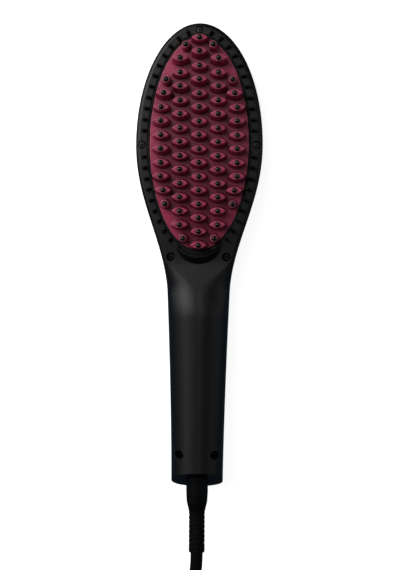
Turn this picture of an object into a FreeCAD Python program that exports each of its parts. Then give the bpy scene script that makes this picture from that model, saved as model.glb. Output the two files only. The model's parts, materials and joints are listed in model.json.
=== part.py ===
import FreeCAD, Part
import math
import os

# Electric hair straightening brush, lying on its back with the teeth up.
# +Y runs from the handle's end to the head's tip and +Z points out of the heated plate.
# The origin is under the middle of the housing, on the surface that it lies on.
# Millimetres and degrees.

Vec = FreeCAD.Vector

# Housing seen from the teeth
body_length = 272.6
head_half_width = 36.9
head_half_length = 70.0
neck_length = 85.5
neck_half_width = 18.4
handle_end_half_width = 15.05
handle_taper_power = 1.5

# Housing seen from the side
back_height = 13.5
head_front_height = 7.5
handle_front_height = 13.5
front_round = 2.4
back_round = 11.0
handle_side = 1.5
crown_flat = 2.0
crown_start = 66.0
crown_length = 34.0
crown_round_length = 20.0
rise_start = 62.0
handle_bend_radius = 820.0
end_slant = 28.0
wall = 2.2
least_round = 1.0
parting_gap = 0.3
section_step = 5.0

# Heated plate and its fins
ring_side = 8.2
ring_tip = 8.65
plate_shift = 0.5
plate_thickness = 2.6
plate_drop = 0.6
fin_shift = 0.6
fin_pitch = 7.86
fin_side_room = 6.9
fin_length = 8.6
fin_width = 3.9
fin_end_radius = 0.6
fin_draft = 5.5
fin_chamfer = 0.3
tall_fin = 12.4
short_fin = 10.0
fin_edge = 5.4
stud_radius = 2.0
stud_edge = 4.3
tip_radius = 1.5
tip_height = 1.9
tip_shoulder = 0.5

# Frame between plate and ring
plate_gap = 0.4
frame_lip = 1.1
frame_fit = 0.15
frame_base = 1.2
frame_ledge = 2.8
frame_flange = 1.9
frame_flange_gap = 0.2
frame_lip_drop = 0.35
frame_post_radius = 1.8
frame_post_angles = (20, 65, 115, 160, 200, 235, 305, 340)

# Teeth round the ring
tooth_offset = 3.4
tooth_first = 7.4
tooth_pitch = 6.4
teeth_above = 11
teeth_below = 9
tooth_length = 3.3
tooth_width = 1.8
tooth_height = 4.2
tooth_top_length = 1.5
tooth_top_width = 1.1
tooth_lean = 0.8
tooth_seat_gap = 0.01

# Finger guard at the neck
guard_offset = 4.3
guard_thickness = 4.0
guard_inner_radius = 15.3
guard_outer_radius = 13.9
guard_slope = 45.0
guard_slot = 1.7
guard_slot_radius = 14.6
guard_slot_reach = 6.6
guard_slot_depth = 1.2

# Screws that close the housing
screw_shank_radius = 1.25
screw_hole_fit = 0.15
pilot_fit = 0.05
screw_length = 10.0
screw_tip_room = 0.6
head_screw_offset = 4.5
head_screw_radius = 2.1
head_screw_height = 1.7
head_screw_sink = 0.3
head_boss_radius = 2.7
neck_screw_x = 16.3
neck_screw_offset = 65.0
handle_screw_x = 10.3
handle_screw_from_end = 23.3
deep_screw_radius = 2.25
deep_screw_height = 1.6
deep_bore_fit = 0.2
deep_boss_wall = 1.2
deep_floor = 1.5
cross_length = 2.6
cross_width = 0.6
cross_depth = 0.8

# Heating parts under the plate
heater_margin = 15.7
heater_length = 70.0
heater_thickness = 1.3
heater_gap = 2.0
mica_thickness = 0.4
mica_margin = 1.0
clamp_thickness = 1.5
clamp_tab_half_width = 4.5
clamp_tab_length = 8.0
clamp_boss_radius = 3.0
clamp_boss_gap = 0.5
clamp_screw_head = 2.6
clamp_screw_height = 1.8
clamp_screw_shank = 1.4
clamp_thread_depth = 1.4
sensor_edge = 9.7
sensor_y = 12.0
sensor_size = (5.0, 8.0, 2.4)
fuse_radius = 2.0
fuse_length = 14.0
fuse_y = -4.0
fuse_seat_gap = 0.1
shield_inset = 7.0
shield_height = 8.0
shield_thickness = 0.6
shield_post_edge = 15.7
shield_post_y = 34.0
shield_post_radius = 2.5
shield_pin_radius = 1.0
shield_pin_fit = 0.15
shield_pin_height = 1.0

# Controls on the back of the handle, measured from the panel's middle
panel_from_end = 82.0
pocket_half_width = 9.0
pocket_front = 42.0
pocket_rear = 33.0
pocket_depth = 1.5
pocket_rim = 1.5
window_width = 14.0
window_length = 21.0
window_place = 26.0
window_round = 1.6
window_fit = 0.1
window_sink = 0.2
window_flange = 1.5
window_flange_thickness = 1.0
button_radius = 4.4
button_pitch = 14.0
button_first = 6.0
button_proud = 0.8
button_travel = 0.8
button_gap = 0.25
button_flange = 1.1
button_flange_thickness = 1.2
button_rest_gap = 0.1
button_dish = 0.35
button_stem_radius = 1.5
button_stem_length = 1.0
switch_side = 6.2
switch_height = 3.5
switch_plunger_radius = 1.6
switch_plunger_height = 1.5
switch_room = 0.1
board_half_width = 11.0
board_front = 40.0
board_rear = 38.0
board_thickness = 1.6
board_post_x = 9.0
board_post_places = (-1.0, -34.0)
board_post_radius = 1.9
board_screw_head = 1.9
board_screw_height = 1.3
board_screw_shank = 0.9
board_screw_length = 6.0
display_side = 1.0
triac_size = (10.0, 15.5, 4.4)
triac_tab = (10.0, 6.0, 1.3)
triac_place = -10.0
capacitor_size = (15.0, 8.0, 8.5)
capacitor_place = -29.0

# Wires inside
heater_lead_radius = 0.55
sensor_lead_radius = 0.6
core_radius = 1.2
core_gap = 0.6
core_run = 3.0
mains_lead_place = -35.0
lead_gap = 0.05
lead_rise = 4.0
heater_lead_place = 37.0
sensor_lead_place = 33.0
sensor_lead_inset = 0.9
sensor_lead_pitch = 1.5
neck_lead_drop = 4.0
lead_straight = 6.0
lead_approach = 14.0
lead_approach_drop = 4.0
lead_side_swing = 3.5
lead_trim = 0.45

# Mains lead
cord_diameter = 7.2
cord_axis_drop = 1.5
boot_length = 36.0
boot_neck_radius = 5.4
boot_neck_fit = 0.15
boot_bore_fit = 0.1
boot_root_radius = 6.4
boot_root_length = 6.0
boot_shoulder_radius = 6.1
boot_cone_length = 6.0
boot_tail_radius = 4.7
boot_groove_depth = 0.45
boot_groove_width = 1.1
boot_groove_pitch = 2.8
boot_groove_count = 7
boot_collar_radius = 7.2
boot_collar_depth = 5.0
boot_seat_gap = 0.1
grip_y = 31.0
grip_width = 6.0
grip_half_length = 10.0
grip_ear = 1.6
grip_arch = 1.4
grip_screw_x = 7.5
grip_post_radius = 2.0
grip_fit = 0.05
grip_split = 0.2
grip_screw_head = 1.9
grip_screw_height = 1.3
grip_screw_shank = 0.9
grip_screw_length = 6.0
saddle_half_width = 4.6
inner_cord_stub = 3.0

# Put-away coil of the lead
coil_side = 33.2
coil_away = 86.0
coil_inner_radius = 28.85
coil_step = 4.6
coil_layer_halves = (3, 3, 3, 2)
coil_layer = 7.85
lead_out = 15.0
lead_in = 12.0
tail_over = 30.0
tail_drop_run = 48.0
tail_swing = 10.95
plug_lead_in = 15.0
tie_thickness = 0.9
tie_gap = 0.3
tie_side_gap = 0.8
tie_width = 10.0
tie_round = 3.0

# Plug with two round pins
plug_width = 35.3
plug_height = 13.7
plug_face_round = 4.0
plug_body_length = 22.0
plug_full_length = 9.0
plug_waist_width = 20.0
plug_waist_height = 11.5
plug_tail_length = 16.0
plug_tail_radius = 4.8
pin_radius = 2.0
pin_length = 19.0
pin_spacing = 18.6
pin_round = 0.6
pin_root = 6.0
pin_root_radius = 1.6

# Places that follow from the driving dimensions
tip_y = body_length / 2
end_y = -body_length / 2
head_y = tip_y - head_half_length
plate_y = head_y + plate_shift
plate_half_width = head_half_width - ring_side
plate_half_length = head_half_length - ring_tip
column_pitch = (plate_half_width - fin_side_room) / 2
heater_width = plate_half_width - heater_margin - heater_gap / 2
sensor_x = plate_half_width - sensor_edge
shield_post_x = plate_half_width - shield_post_edge
neck_y = head_y - neck_length
crown_y = head_y - crown_start
rise_y = head_y - rise_start
ring_top = back_height + head_front_height
plate_top = ring_top - plate_drop
plate_bottom = plate_top - plate_thickness
frame_bottom = plate_bottom - frame_base
cord_radius = cord_diameter / 2
cut_margin = 1.0
far = 400.0


def mix(a, b, share):
    return a + (b - a) * share


def half_width(y):
    # Half an ellipse towards the tip, then a smooth draw-in to the straight taper of the handle
    if y >= head_y:
        return head_half_width * math.sqrt(max(0.0, 1.0 - ((y - head_y) / head_half_length) ** 2))
    run = min(1.0, (head_y - y) / neck_length)
    head_share = 0.5 * (1.0 + math.cos(math.pi * run))
    along = max(0.0, (y - end_y) / (neck_y - end_y))
    taper = mix(handle_end_half_width, neck_half_width, along ** handle_taper_power)
    return mix(taper, head_half_width, head_share)


def rise(y):
    # The handle leaves the resting plane in a long gentle curve
    return max(0.0, rise_y - y) ** 2 / (2 * handle_bend_radius)


def rise_slope(y):
    return max(0.0, rise_y - y) / handle_bend_radius


def parting(y):
    return back_height + rise(y)


def crown(y, length):
    # 0 on the flat head, 1 on the round handle
    run = min(1.0, max(0.0, (crown_y - y) / length))
    return run * run * (3.0 - 2.0 * run)


def section_sizes(y, side):
    # Half width, height above or below the parting line, and the two radii of the rounded edge
    share = crown(y, crown_length)
    round_share = crown(y, crown_round_length)
    half = half_width(y)
    head_height = head_front_height if side > 0 else back_height
    handle_height = handle_front_height if side > 0 else back_height
    edge = front_round if side > 0 else back_round
    height = mix(head_height, handle_height, share)
    across = mix(edge, half - crown_flat, round_share)
    along = mix(edge, height - handle_side, round_share)
    return half, height, across, along


def round_corner(start, corner, end):
    arc = Part.BezierCurve()
    arc.setPoles([start, corner, end])
    arc.setWeight(2, math.sqrt(0.5))
    return arc.toShape()


def half_section(y, side, inset, base_shift):
    # Closed outline of one shell at y: base, sides, rounded edges and crown
    half, height, across, along = section_sizes(y, side)
    half -= inset
    height -= inset
    across = max(least_round, across - inset)
    along = max(least_round, along - inset)
    base = parting(y) + side * base_shift
    shoulder = parting(y) + side * (height - along)
    top = parting(y) + side * height
    flat = half - across
    low_right, low_left = Vec(half, y, base), Vec(-half, y, base)
    right, left = Vec(half, y, shoulder), Vec(-half, y, shoulder)
    crown_right, crown_left = Vec(flat, y, top), Vec(-flat, y, top)
    edges = [
        Part.LineSegment(low_left, low_right).toShape(),
        Part.LineSegment(low_right, right).toShape(),
        round_corner(right, Vec(half, y, top), crown_right),
        Part.LineSegment(crown_right, crown_left).toShape(),
        round_corner(crown_left, Vec(-half, y, top), left),
        Part.LineSegment(left, low_left).toShape(),
    ]
    return Part.Wire(edges)


def half_head(side, inset, base_shift):
    # Upper half of the oval head, one shell, with its rounded outer edge
    height, edge = section_sizes(head_y, side)[1::2]
    base = back_height + side * base_shift
    top = back_height + side * (height - inset)
    long_axis = head_half_length - inset
    short_axis = head_half_width - inset
    middle = Vec(0, head_y, base)
    outline = Part.Ellipse(middle + Vec(0, long_axis, 0), middle - Vec(short_axis, 0, 0), middle)
    arc = Part.ArcOfEllipse(outline, -math.pi / 2, math.pi / 2).toShape()
    chord = Part.LineSegment(Vec(-short_axis, head_y, base), Vec(short_axis, head_y, base)).toShape()
    solid = Part.Face(Part.Wire([arc, chord])).extrude(Vec(0, 0, top - base))
    rims = [edge for edge in solid.Edges if abs(edge.CenterOfMass.z - top) < 1e-4 and len(edge.Vertexes) == 2]
    rims = [edge for edge in rims if edge.CenterOfMass.y > head_y + 1.0]
    return solid.makeFillet(max(least_round, edge - inset), rims)


def to_end(shape, inset):
    # Turned to the handle's slanted end and moved in by inset
    shape.rotate(Vec(0, 0, 0), Vec(1, 0, 0), -end_slant)
    shape.translate(Vec(0, end_y + inset / math.cos(math.radians(end_slant)), rise(end_y)))
    return shape


def end_block(inset):
    # Everything beyond the slanted end of the handle, moved in by inset
    beyond = Part.makeBox(far, far, far, Vec(-far / 2, -far, -far / 2))
    return to_end(beyond, inset)


def handle_side_block(inset):
    # Everything on the handle's side of that slanted end
    before = Part.makeBox(far, far, far, Vec(-far / 2, 0, -far / 2))
    return to_end(before, inset)


def section_places():
    # Even steps from the head's widest place to just past the handle's end
    last = end_y - cut_margin * 3
    count = math.ceil((head_y - last) / section_step)
    return [mix(head_y, last, index / count) for index in range(count + 1)]


def half_body(side, inset, base_shift):
    # Solid form of one shell's outside, or of its hollow where inset is the wall
    handle = Part.makeLoft([half_section(y, side, inset, base_shift) for y in section_places()], True, False)
    body = half_head(side, inset, base_shift).fuse(handle)
    return body.cut(end_block(inset))


def cylinder(radius, low, high, x, y):
    return Part.makeCylinder(radius, high - low, Vec(x, y, low))


def block(width, length, low, high, x, y):
    return Part.makeBox(width, length, high - low, Vec(x - width / 2, y - length / 2, low))


def oval_line(offset, z):
    # Oval that stands offset outside the plate's edge
    long_axis = plate_half_length + offset
    short_axis = plate_half_width + offset
    middle = Vec(0, plate_y, z)
    line = Part.Ellipse(middle + Vec(0, long_axis, 0), middle - Vec(short_axis, 0, 0), middle)
    return Part.Wire(line.toShape())


def oval(offset, low, high):
    return Part.Face(oval_line(offset, low)).extrude(Vec(0, 0, high - low))


def oval_point(offset, angle):
    turn = math.radians(angle)
    x = (plate_half_width + offset) * math.cos(turn)
    return x, plate_y + (plate_half_length + offset) * math.sin(turn)


def one_solid(shape):
    solids = shape.Solids
    return solids[0] if len(solids) == 1 else Part.makeCompound(solids)


def save(name, shape):
    facts = (name, len(shape.Solids), shape.Volume, shape.isValid())
    print("%-20s solids %3d  volume %10.1f  valid %s" % facts)
    shape.exportStep("parts/%s.step" % name)


def screw(x, y, seat, length, head_radius, head_height, shank_radius, point_up=False):
    # Pan screw seated at a height, with its cross recess; it points down unless point_up is set
    way = 1 if point_up else -1
    low_head = seat if way < 0 else seat - head_height
    body = cylinder(head_radius, low_head, low_head + head_height, x, y)
    low_shank = seat - length if way < 0 else seat
    body = body.fuse(cylinder(shank_radius, low_shank, low_shank + length, x, y))
    face = low_head + head_height - cross_depth if way < 0 else low_head
    first = block(cross_length, cross_width, face, face + cross_depth, x, y)
    second = block(cross_width, cross_length, face, face + cross_depth, x, y)
    return body.cut(first.fuse(second))


def mirrored_pairs(x, y):
    return [(-x, y), (x, y)]


# Screw places: three in the ring, two at the neck, two at the handle's end
ring_x = plate_half_width + head_screw_offset
ring_y = plate_half_length + head_screw_offset
head_sites = [(0.0, head_y + ring_y)] + mirrored_pairs(ring_x, head_y)
neck_sites = mirrored_pairs(neck_screw_x, head_y - neck_screw_offset)
handle_sites = mirrored_pairs(handle_screw_x, end_y + handle_screw_from_end)
head_seat = ring_top - head_screw_sink - head_screw_height
deep_boss_radius = deep_screw_radius + deep_bore_fit + deep_boss_wall


def deep_seat(y):
    return parting(y) + parting_gap + deep_floor


# Lead's line through the handle's end, its boot and the bar that grips it
cord_axis_z = parting(end_y) - cord_axis_drop
boot_end_y = end_y - boot_length
boot_root_y = end_y + (cord_axis_z - rise(end_y)) * math.tan(math.radians(end_slant))
boot_inner_y = boot_root_y + wall + boot_collar_depth
grip_place_y = end_y + grip_y
grip_seat = cord_axis_z + grip_split + grip_ear
inner_cord_y = grip_place_y + grip_width / 2 + inner_cord_stub


def along_cord(radius, start_y, stop_y):
    return Part.makeCylinder(radius, stop_y - start_y, Vec(0, start_y, cord_axis_z), Vec(0, 1, 0))


# Panel frame: x across, y along the handle, z from the back's surface into the handle
panel_y = end_y + panel_from_end
panel_tilt = math.degrees(math.atan(rise_slope(panel_y)))


def to_panel(shape):
    placed = shape.copy()
    placed.rotate(Vec(0, 0, 0), Vec(1, 0, 0), -panel_tilt)
    placed.translate(Vec(0, panel_y, rise(panel_y)))
    return placed


def panel_place(x, y, depth):
    turn = math.radians(panel_tilt)
    forward = y * math.cos(turn) + depth * math.sin(turn)
    upward = depth * math.cos(turn) - y * math.sin(turn)
    return Vec(x, panel_y + forward, rise(panel_y) + upward)


def stadium(half, front, rear, low, high):
    # Long rounded slot shape along the panel
    right_front, left_front = Vec(half, front - half, low), Vec(-half, front - half, low)
    right_rear, left_rear = Vec(half, rear + half, low), Vec(-half, rear + half, low)
    edges = [
        Part.LineSegment(right_rear, right_front).toShape(),
        Part.Arc(right_front, Vec(0, front, low), left_front).toShape(),
        Part.LineSegment(left_front, left_rear).toShape(),
        Part.Arc(left_rear, Vec(0, rear, low), right_rear).toShape(),
    ]
    return Part.Face(Part.Wire(edges)).extrude(Vec(0, 0, high - low))


def rounded_block(width, length, radius, low, high, x, y):
    solid = block(width, length, low, high, x, y)
    uprights = [edge for edge in solid.Edges if abs(edge.Vertexes[0].Z - edge.Vertexes[1].Z) > 1e-6]
    return solid.makeFillet(radius, uprights)


pad_depth = pocket_depth + wall
button_places = [button_first - button_pitch * index for index in range(3)]
flange_low = pad_depth + button_rest_gap
flange_high = flange_low + button_flange_thickness
stem_end = flange_high + button_stem_length
plunger_top = stem_end + button_travel + switch_room
switch_top = plunger_top + switch_plunger_height
board_low = switch_top + switch_height
board_high = board_low + board_thickness


def cut_all(shape, tools):
    for tool in tools:
        shape = shape.cut(tool)
    return shape


handle_top = parting(end_y) + handle_front_height


def make_front_shell():
    # The hollow is cut out of the outside form with the screw bosses left standing in it
    outside = half_body(1, 0.0, parting_gap).fuse(make_guard())
    bosses = [cylinder(head_boss_radius, 0, handle_top, x, y) for x, y in head_sites]
    bosses += [cylinder(deep_boss_radius, 0, handle_top, x, y) for x, y in neck_sites + handle_sites]
    shell = outside.cut(cut_all(half_body(1, wall, -cut_margin), bosses))
    cuts = [oval(plate_gap + frame_lip + frame_fit, back_height, handle_top), guard_slot_cut()]
    hole = screw_shank_radius + screw_hole_fit
    for x, y in head_sites:
        cuts.append(cylinder(hole, 0, handle_top, x, y))
        cuts.append(cylinder(head_screw_radius + screw_hole_fit, head_seat, handle_top, x, y))
    for x, y in neck_sites + handle_sites:
        cuts.append(cylinder(hole, 0, handle_top, x, y))
        cuts.append(cylinder(deep_screw_radius + deep_bore_fit, deep_seat(y), handle_top + cut_margin, x, y))
    cuts.append(along_cord(boot_neck_radius + boot_neck_fit, boot_end_y, boot_inner_y))
    return one_solid(cut_all(shell, cuts))


guard_crest_y = plate_y - plate_half_length - guard_offset
guard_height = guard_thickness * math.tan(math.radians(guard_slope))


def make_guard():
    # Crescent ridge that keeps fingers off the plate: a cone with a round hollow in its head side
    root = ring_top - wall / 2
    slope = math.tan(math.radians(guard_slope))
    root_radius = guard_outer_radius + (ring_top - root) / slope
    top = ring_top + guard_height
    top_radius = guard_outer_radius - guard_thickness
    outer_y = guard_crest_y - guard_thickness + guard_outer_radius
    cone = Part.makeCone(root_radius, top_radius, top - root, Vec(0, outer_y, root))
    inner_y = guard_crest_y + guard_inner_radius
    return cone.cut(cylinder(guard_inner_radius, back_height, handle_top, 0, inner_y))


def guard_slot_cut():
    # Crescent groove between the guard and the plate's frame
    low = ring_top - guard_slot_depth
    groove = cylinder(guard_inner_radius, low, handle_top, 0, guard_crest_y + guard_inner_radius)
    land_y = guard_crest_y + guard_slot + guard_slot_radius
    groove = groove.cut(cylinder(guard_slot_radius, low - cut_margin, handle_top + cut_margin, 0, land_y))
    return groove.cut(Part.makeBox(far, far, far, Vec(-far / 2, guard_crest_y + guard_slot_reach, -far / 2)))


def board_post_sites():
    return [(x, y) for x in (-board_post_x, board_post_x) for y in board_post_places]


def shield_post_sites():
    sides = (-shield_post_x, shield_post_x)
    return [(x, plate_y + y) for x in sides for y in (-shield_post_y, shield_post_y)]


def make_back_shell():
    # The hollow is cut out of the outside form with the posts and the panel's pad left standing in it
    shell = half_body(-1, 0.0, 0.0).cut(cut_all(half_body(-1, wall, -cut_margin), inner_supports()))
    cuts = [to_panel(stadium(pocket_half_width, pocket_front, -pocket_rear, -pad_depth, pocket_depth))]
    opening = rounded_block(window_width, window_length, window_round, 0, board_low, 0, window_place)
    cuts.append(to_panel(opening))
    seat = 2 * (window_flange + window_fit)
    recess = rounded_block(window_width + seat, window_length + seat, window_round, pad_depth, board_low,
                           0, window_place)
    cuts.append(to_panel(recess))
    for place in button_places:
        cuts.append(to_panel(cylinder(button_radius + button_gap, 0, pad_depth + cut_margin, 0, place)))
    for x, y in board_post_sites():
        low = board_high - board_screw_length - screw_tip_room
        cuts.append(to_panel(cylinder(board_screw_shank + pilot_fit, low, board_high, x, y)))
    pilot = screw_shank_radius + pilot_fit
    for x, y in head_sites:
        cuts.append(cylinder(pilot, head_seat - screw_length - screw_tip_room, ring_top, x, y))
    for x, y in neck_sites + handle_sites:
        cuts.append(cylinder(pilot, deep_seat(y) - screw_length - screw_tip_room, handle_top, x, y))
    for x in (-grip_screw_x, grip_screw_x):
        low = grip_seat - grip_screw_length - screw_tip_room
        cuts.append(cylinder(grip_screw_shank + pilot_fit, low, handle_top, x, grip_place_y))
    cuts.append(along_cord(boot_neck_radius + boot_neck_fit, boot_end_y, boot_inner_y))
    cuts.append(along_cord(cord_radius + grip_fit, boot_inner_y, inner_cord_y))
    return one_solid(cut_all(shell, cuts))


def inner_supports():
    # Screw posts, posts under the frame, the heat shield and the board, the panel's pad and the lead's saddle
    posts = [cylinder(head_boss_radius, 0, handle_top, x, y) for x, y in head_sites]
    posts += [cylinder(deep_boss_radius, 0, handle_top, x, y) for x, y in neck_sites + handle_sites]
    for angle in frame_post_angles:
        x, y = oval_point(plate_gap - frame_ledge / 2, angle)
        posts.append(cylinder(frame_post_radius, 0, frame_bottom, x, y))
    for x, y in shield_post_sites():
        posts.append(cylinder(shield_post_radius, 0, shield_height, x, y))
        pin_top = shield_height + shield_thickness + shield_pin_height
        posts.append(cylinder(shield_pin_radius, 0, pin_top, x, y))
    posts.append(to_panel(stadium(pocket_half_width + pocket_rim, pocket_front + pocket_rim,
                                  -pocket_rear - pocket_rim, -pad_depth, pad_depth)))
    posts += [to_panel(cylinder(board_post_radius, 0, board_low, x, y)) for x, y in board_post_sites()]
    for x in (-grip_screw_x, grip_screw_x):
        posts.append(cylinder(grip_post_radius, 0, cord_axis_z, x, grip_place_y))
    posts.append(block(2 * saddle_half_width, grip_width, 0, cord_axis_z - cord_radius / 2, 0, grip_place_y))
    return posts


def lens(spread, z):
    # Oval of two wide arcs with small round ends, drawn outwards by the spread on all sides
    end_radius = fin_end_radius + spread
    half_width = fin_width / 2 + spread
    end_x = fin_length / 2 - fin_end_radius
    wide_radius = (end_x ** 2 + half_width ** 2 - end_radius ** 2) / (2 * (half_width - end_radius))
    drop = wide_radius - half_width
    reach = wide_radius / (wide_radius - end_radius)
    x, y = end_x * reach, drop * (reach - 1)
    corners = [Vec(x, -y, z), Vec(x, y, z), Vec(-x, y, z), Vec(-x, -y, z)]
    tip_x = end_x + end_radius
    crests = [Vec(tip_x, 0, z), Vec(0, half_width, z), Vec(-tip_x, 0, z), Vec(0, -half_width, z)]
    edges = [Part.Arc(corners[i], crests[i], corners[(i + 1) % 4]).toShape() for i in range(4)]
    return Part.Wire(edges)


def make_fin(height):
    # Drafted sides and a narrow bevel round the top
    foot = lens(height * math.tan(math.radians(fin_draft)), 0)
    shoulder = lens(0, height - fin_chamfer)
    head = lens(-fin_chamfer, height)
    return Part.makeLoft([foot, shoulder, head], True, True)


def make_stud(height):
    grow = height * math.tan(math.radians(fin_draft))
    return Part.makeCone(stud_radius + grow, stud_radius, height)


def edge_half_width(y):
    # Half width of the plate at a distance along it from its middle
    return plate_half_width * math.sqrt(1.0 - (y / plate_half_length) ** 2)


def fin_places():
    # (x, y, tall) of every lens fin: five columns, tall and short in turn, staggered by half a pitch
    places = []
    for step in range(-15, 16, 2):
        places.append((0.0, fin_shift + step * fin_pitch / 2, step % 4 == 1))
    for step in range(-6, 7):
        for side in (-1, 1):
            places.append((side * column_pitch, fin_shift + step * fin_pitch, step % 2 == 0))
    for step in range(-7, 8, 2):
        y = fin_shift + step * fin_pitch / 2
        x = min(2 * column_pitch, edge_half_width(y) - fin_edge)
        for side in (-1, 1):
            places.append((side * x, y, step % 4 == 3))
    return places


def stud_places():
    # Round studs where the oval leaves no room for a fin
    places = []
    for step, column in ((7, 1), (4.5, 2), (-4.5, 2), (-7, 1)):
        y = fin_shift + step * fin_pitch
        x = min(column * column_pitch, edge_half_width(y) - stud_edge)
        places += mirrored_pairs(x, y)
    return places


clamp_screw_y = heater_length / 2 + mica_margin + clamp_boss_radius + clamp_boss_gap
clamp_screw_places = (plate_y - clamp_screw_y, plate_y + clamp_screw_y)
clamp_top = plate_bottom - heater_thickness - mica_thickness
clamp_bottom = clamp_top - clamp_thickness


def make_heater_plate():
    # Oval plate with two threaded bosses underneath, and the fins and studs that stand on it
    plate = oval(0.0, plate_bottom, plate_top)
    for y in clamp_screw_places:
        plate = plate.fuse(cylinder(clamp_boss_radius, clamp_top, plate_bottom, 0, y))
    for y in clamp_screw_places:
        thread = clamp_screw_shank + pilot_fit
        plate = plate.cut(cylinder(thread, clamp_bottom, plate_bottom + clamp_thread_depth, 0, y))
    fins = {True: make_fin(tall_fin), False: make_fin(short_fin)}
    stud = make_stud(short_fin)
    pieces = [one_solid(plate)]
    above = oval(0.0, plate_top, plate_top + tall_fin)
    for x, y, tall in fin_places():
        fin = fins[tall].translated(Vec(x, plate_y + y, plate_top))
        pieces.append(one_solid(fin.common(above)))
    pieces += [stud.translated(Vec(x, plate_y + y, plate_top)) for x, y in stud_places()]
    return Part.makeCompound(pieces)


def make_fin_tips():
    # Round bead with a short straight side, standing on the fin's top
    foot, side, shoulder = Vec(0, 0, 0), Vec(tip_radius, 0, 0), Vec(tip_radius, 0, tip_shoulder)
    top = Vec(0, 0, tip_height)
    corner = Vec(tip_radius, 0, tip_height)
    edges = [
        Part.LineSegment(foot, side).toShape(),
        Part.LineSegment(side, shoulder).toShape(),
        round_corner(shoulder, corner, top),
        Part.LineSegment(top, foot).toShape(),
    ]
    tip = Part.Face(Part.Wire(edges)).revolve(Vec(0, 0, 0), Vec(0, 0, 1), 360)
    tips = []
    for x, y, tall in fin_places():
        height = tall_fin if tall else short_fin
        tips.append(tip.translated(Vec(x, plate_y + y, plate_top + height)))
    for x, y in stud_places():
        tips.append(tip.translated(Vec(x, plate_y + y, plate_top + short_fin)))
    return Part.makeCompound(tips)


def make_plate_frame():
    lip = plate_gap + frame_lip
    ceiling = ring_top - wall
    frame = oval(lip + frame_flange, frame_bottom, ceiling - frame_flange_gap)
    frame = frame.fuse(oval(lip, frame_bottom, ring_top - frame_lip_drop))
    cuts = [oval(plate_gap, plate_bottom, ring_top + cut_margin)]
    cuts.append(oval(plate_gap - frame_ledge, frame_bottom - cut_margin, ring_top))
    for x, y in head_sites:
        cuts.append(cylinder(head_boss_radius + parting_gap, 0, ceiling, x, y))
    return one_solid(frame.cut(cuts))


def oval_by_length(offset, distance):
    # Angle on the oval at a distance walked from its widest point, positive towards the tip
    steps = 400
    way = 1 if distance > 0 else -1
    walked = 0.0
    last = oval_point(offset, 0)
    for index in range(1, steps + 1):
        angle = way * 90.0 * index / steps
        point = oval_point(offset, angle)
        walked += math.hypot(point[0] - last[0], point[1] - last[1])
        last = point
        if walked >= abs(distance):
            return angle
    return way * 90.0


def slot_line(length, width, shift, z):
    # Rounded bar outline, long along x
    half = width / 2
    reach = length / 2 - half
    upper_in, upper_out = Vec(shift - reach, half, z), Vec(shift + reach, half, z)
    lower_in, lower_out = Vec(shift - reach, -half, z), Vec(shift + reach, -half, z)
    edges = [
        Part.LineSegment(lower_in, lower_out).toShape(),
        Part.Arc(lower_out, Vec(shift + reach + half, 0, z), upper_out).toShape(),
        Part.LineSegment(upper_out, upper_in).toShape(),
        Part.Arc(upper_in, Vec(shift - reach - half, 0, z), lower_in).toShape(),
    ]
    return Part.Wire(edges)


def make_rim_teeth():
    foot = slot_line(tooth_length, tooth_width, 0.0, 0.0)
    head = slot_line(tooth_top_length, tooth_top_width, tooth_lean, tooth_height)
    tooth = Part.makeLoft([foot, head], True, True)
    distances = [tooth_first + tooth_pitch * index for index in range(teeth_above)]
    distances += [-tooth_first - tooth_pitch * index for index in range(teeth_below)]
    teeth = []
    for distance in distances:
        angle = oval_by_length(tooth_offset, distance)
        x, y = oval_point(tooth_offset, angle)
        turn = math.radians(angle)
        across = math.cos(turn) / (plate_half_width + tooth_offset)
        along = math.sin(turn) / (plate_half_length + tooth_offset)
        facing = math.degrees(math.atan2(along, across))
        for side in (1, -1):
            placed = tooth.copy()
            placed.rotate(Vec(0, 0, 0), Vec(0, 0, 1), facing if side > 0 else 180 - facing)
            placed.translate(Vec(side * x, y, ring_top + tooth_seat_gap))
            teeth.append(placed)
    return Part.makeCompound(teeth)


def make_screws(sites, seat_of, radius, height):
    screws = [screw(x, y, seat_of(y), screw_length, radius, height, screw_shank_radius) for x, y in sites]
    return Part.makeCompound(screws)


def make_heaters():
    x = (heater_width + heater_gap) / 2
    low = plate_bottom - heater_thickness
    strips = [block(heater_width, heater_length, low, plate_bottom, side * x, plate_y) for side in (-1, 1)]
    return Part.makeCompound(strips)


mica_width = 2 * heater_width + heater_gap + 2 * mica_margin
mica_length = heater_length + 2 * mica_margin


def make_mica_sheet():
    return block(mica_width, mica_length, clamp_top, clamp_top + mica_thickness, 0, plate_y)


def make_heater_clamp():
    bar = block(2 * heater_width + heater_gap, heater_length, clamp_bottom, clamp_top, 0, plate_y)
    tab_length = 2 * (clamp_screw_y + clamp_tab_length / 2)
    tabs = rounded_block(2 * clamp_tab_half_width, tab_length, clamp_tab_half_width / 2, clamp_bottom,
                         clamp_top, 0, plate_y)
    bar = bar.fuse(tabs)
    holes = []
    for y in clamp_screw_places:
        holes.append(cylinder(clamp_screw_shank + screw_hole_fit, 0, ring_top, 0, y))
    return one_solid(bar.cut(holes))


def make_clamp_screws():
    length = plate_bottom + clamp_thread_depth - clamp_bottom - screw_tip_room
    screws = []
    for y in clamp_screw_places:
        screws.append(screw(0, y, clamp_bottom, length, clamp_screw_head, clamp_screw_height,
                            clamp_screw_shank, True))
    return Part.makeCompound(screws)


def make_thermistor():
    width, length, height = sensor_size
    return rounded_block(width, length, width / 4, plate_bottom - height, plate_bottom,
                         sensor_x, plate_y + sensor_y)


fuse_axis_z = plate_bottom - fuse_seat_gap - fuse_radius


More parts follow.
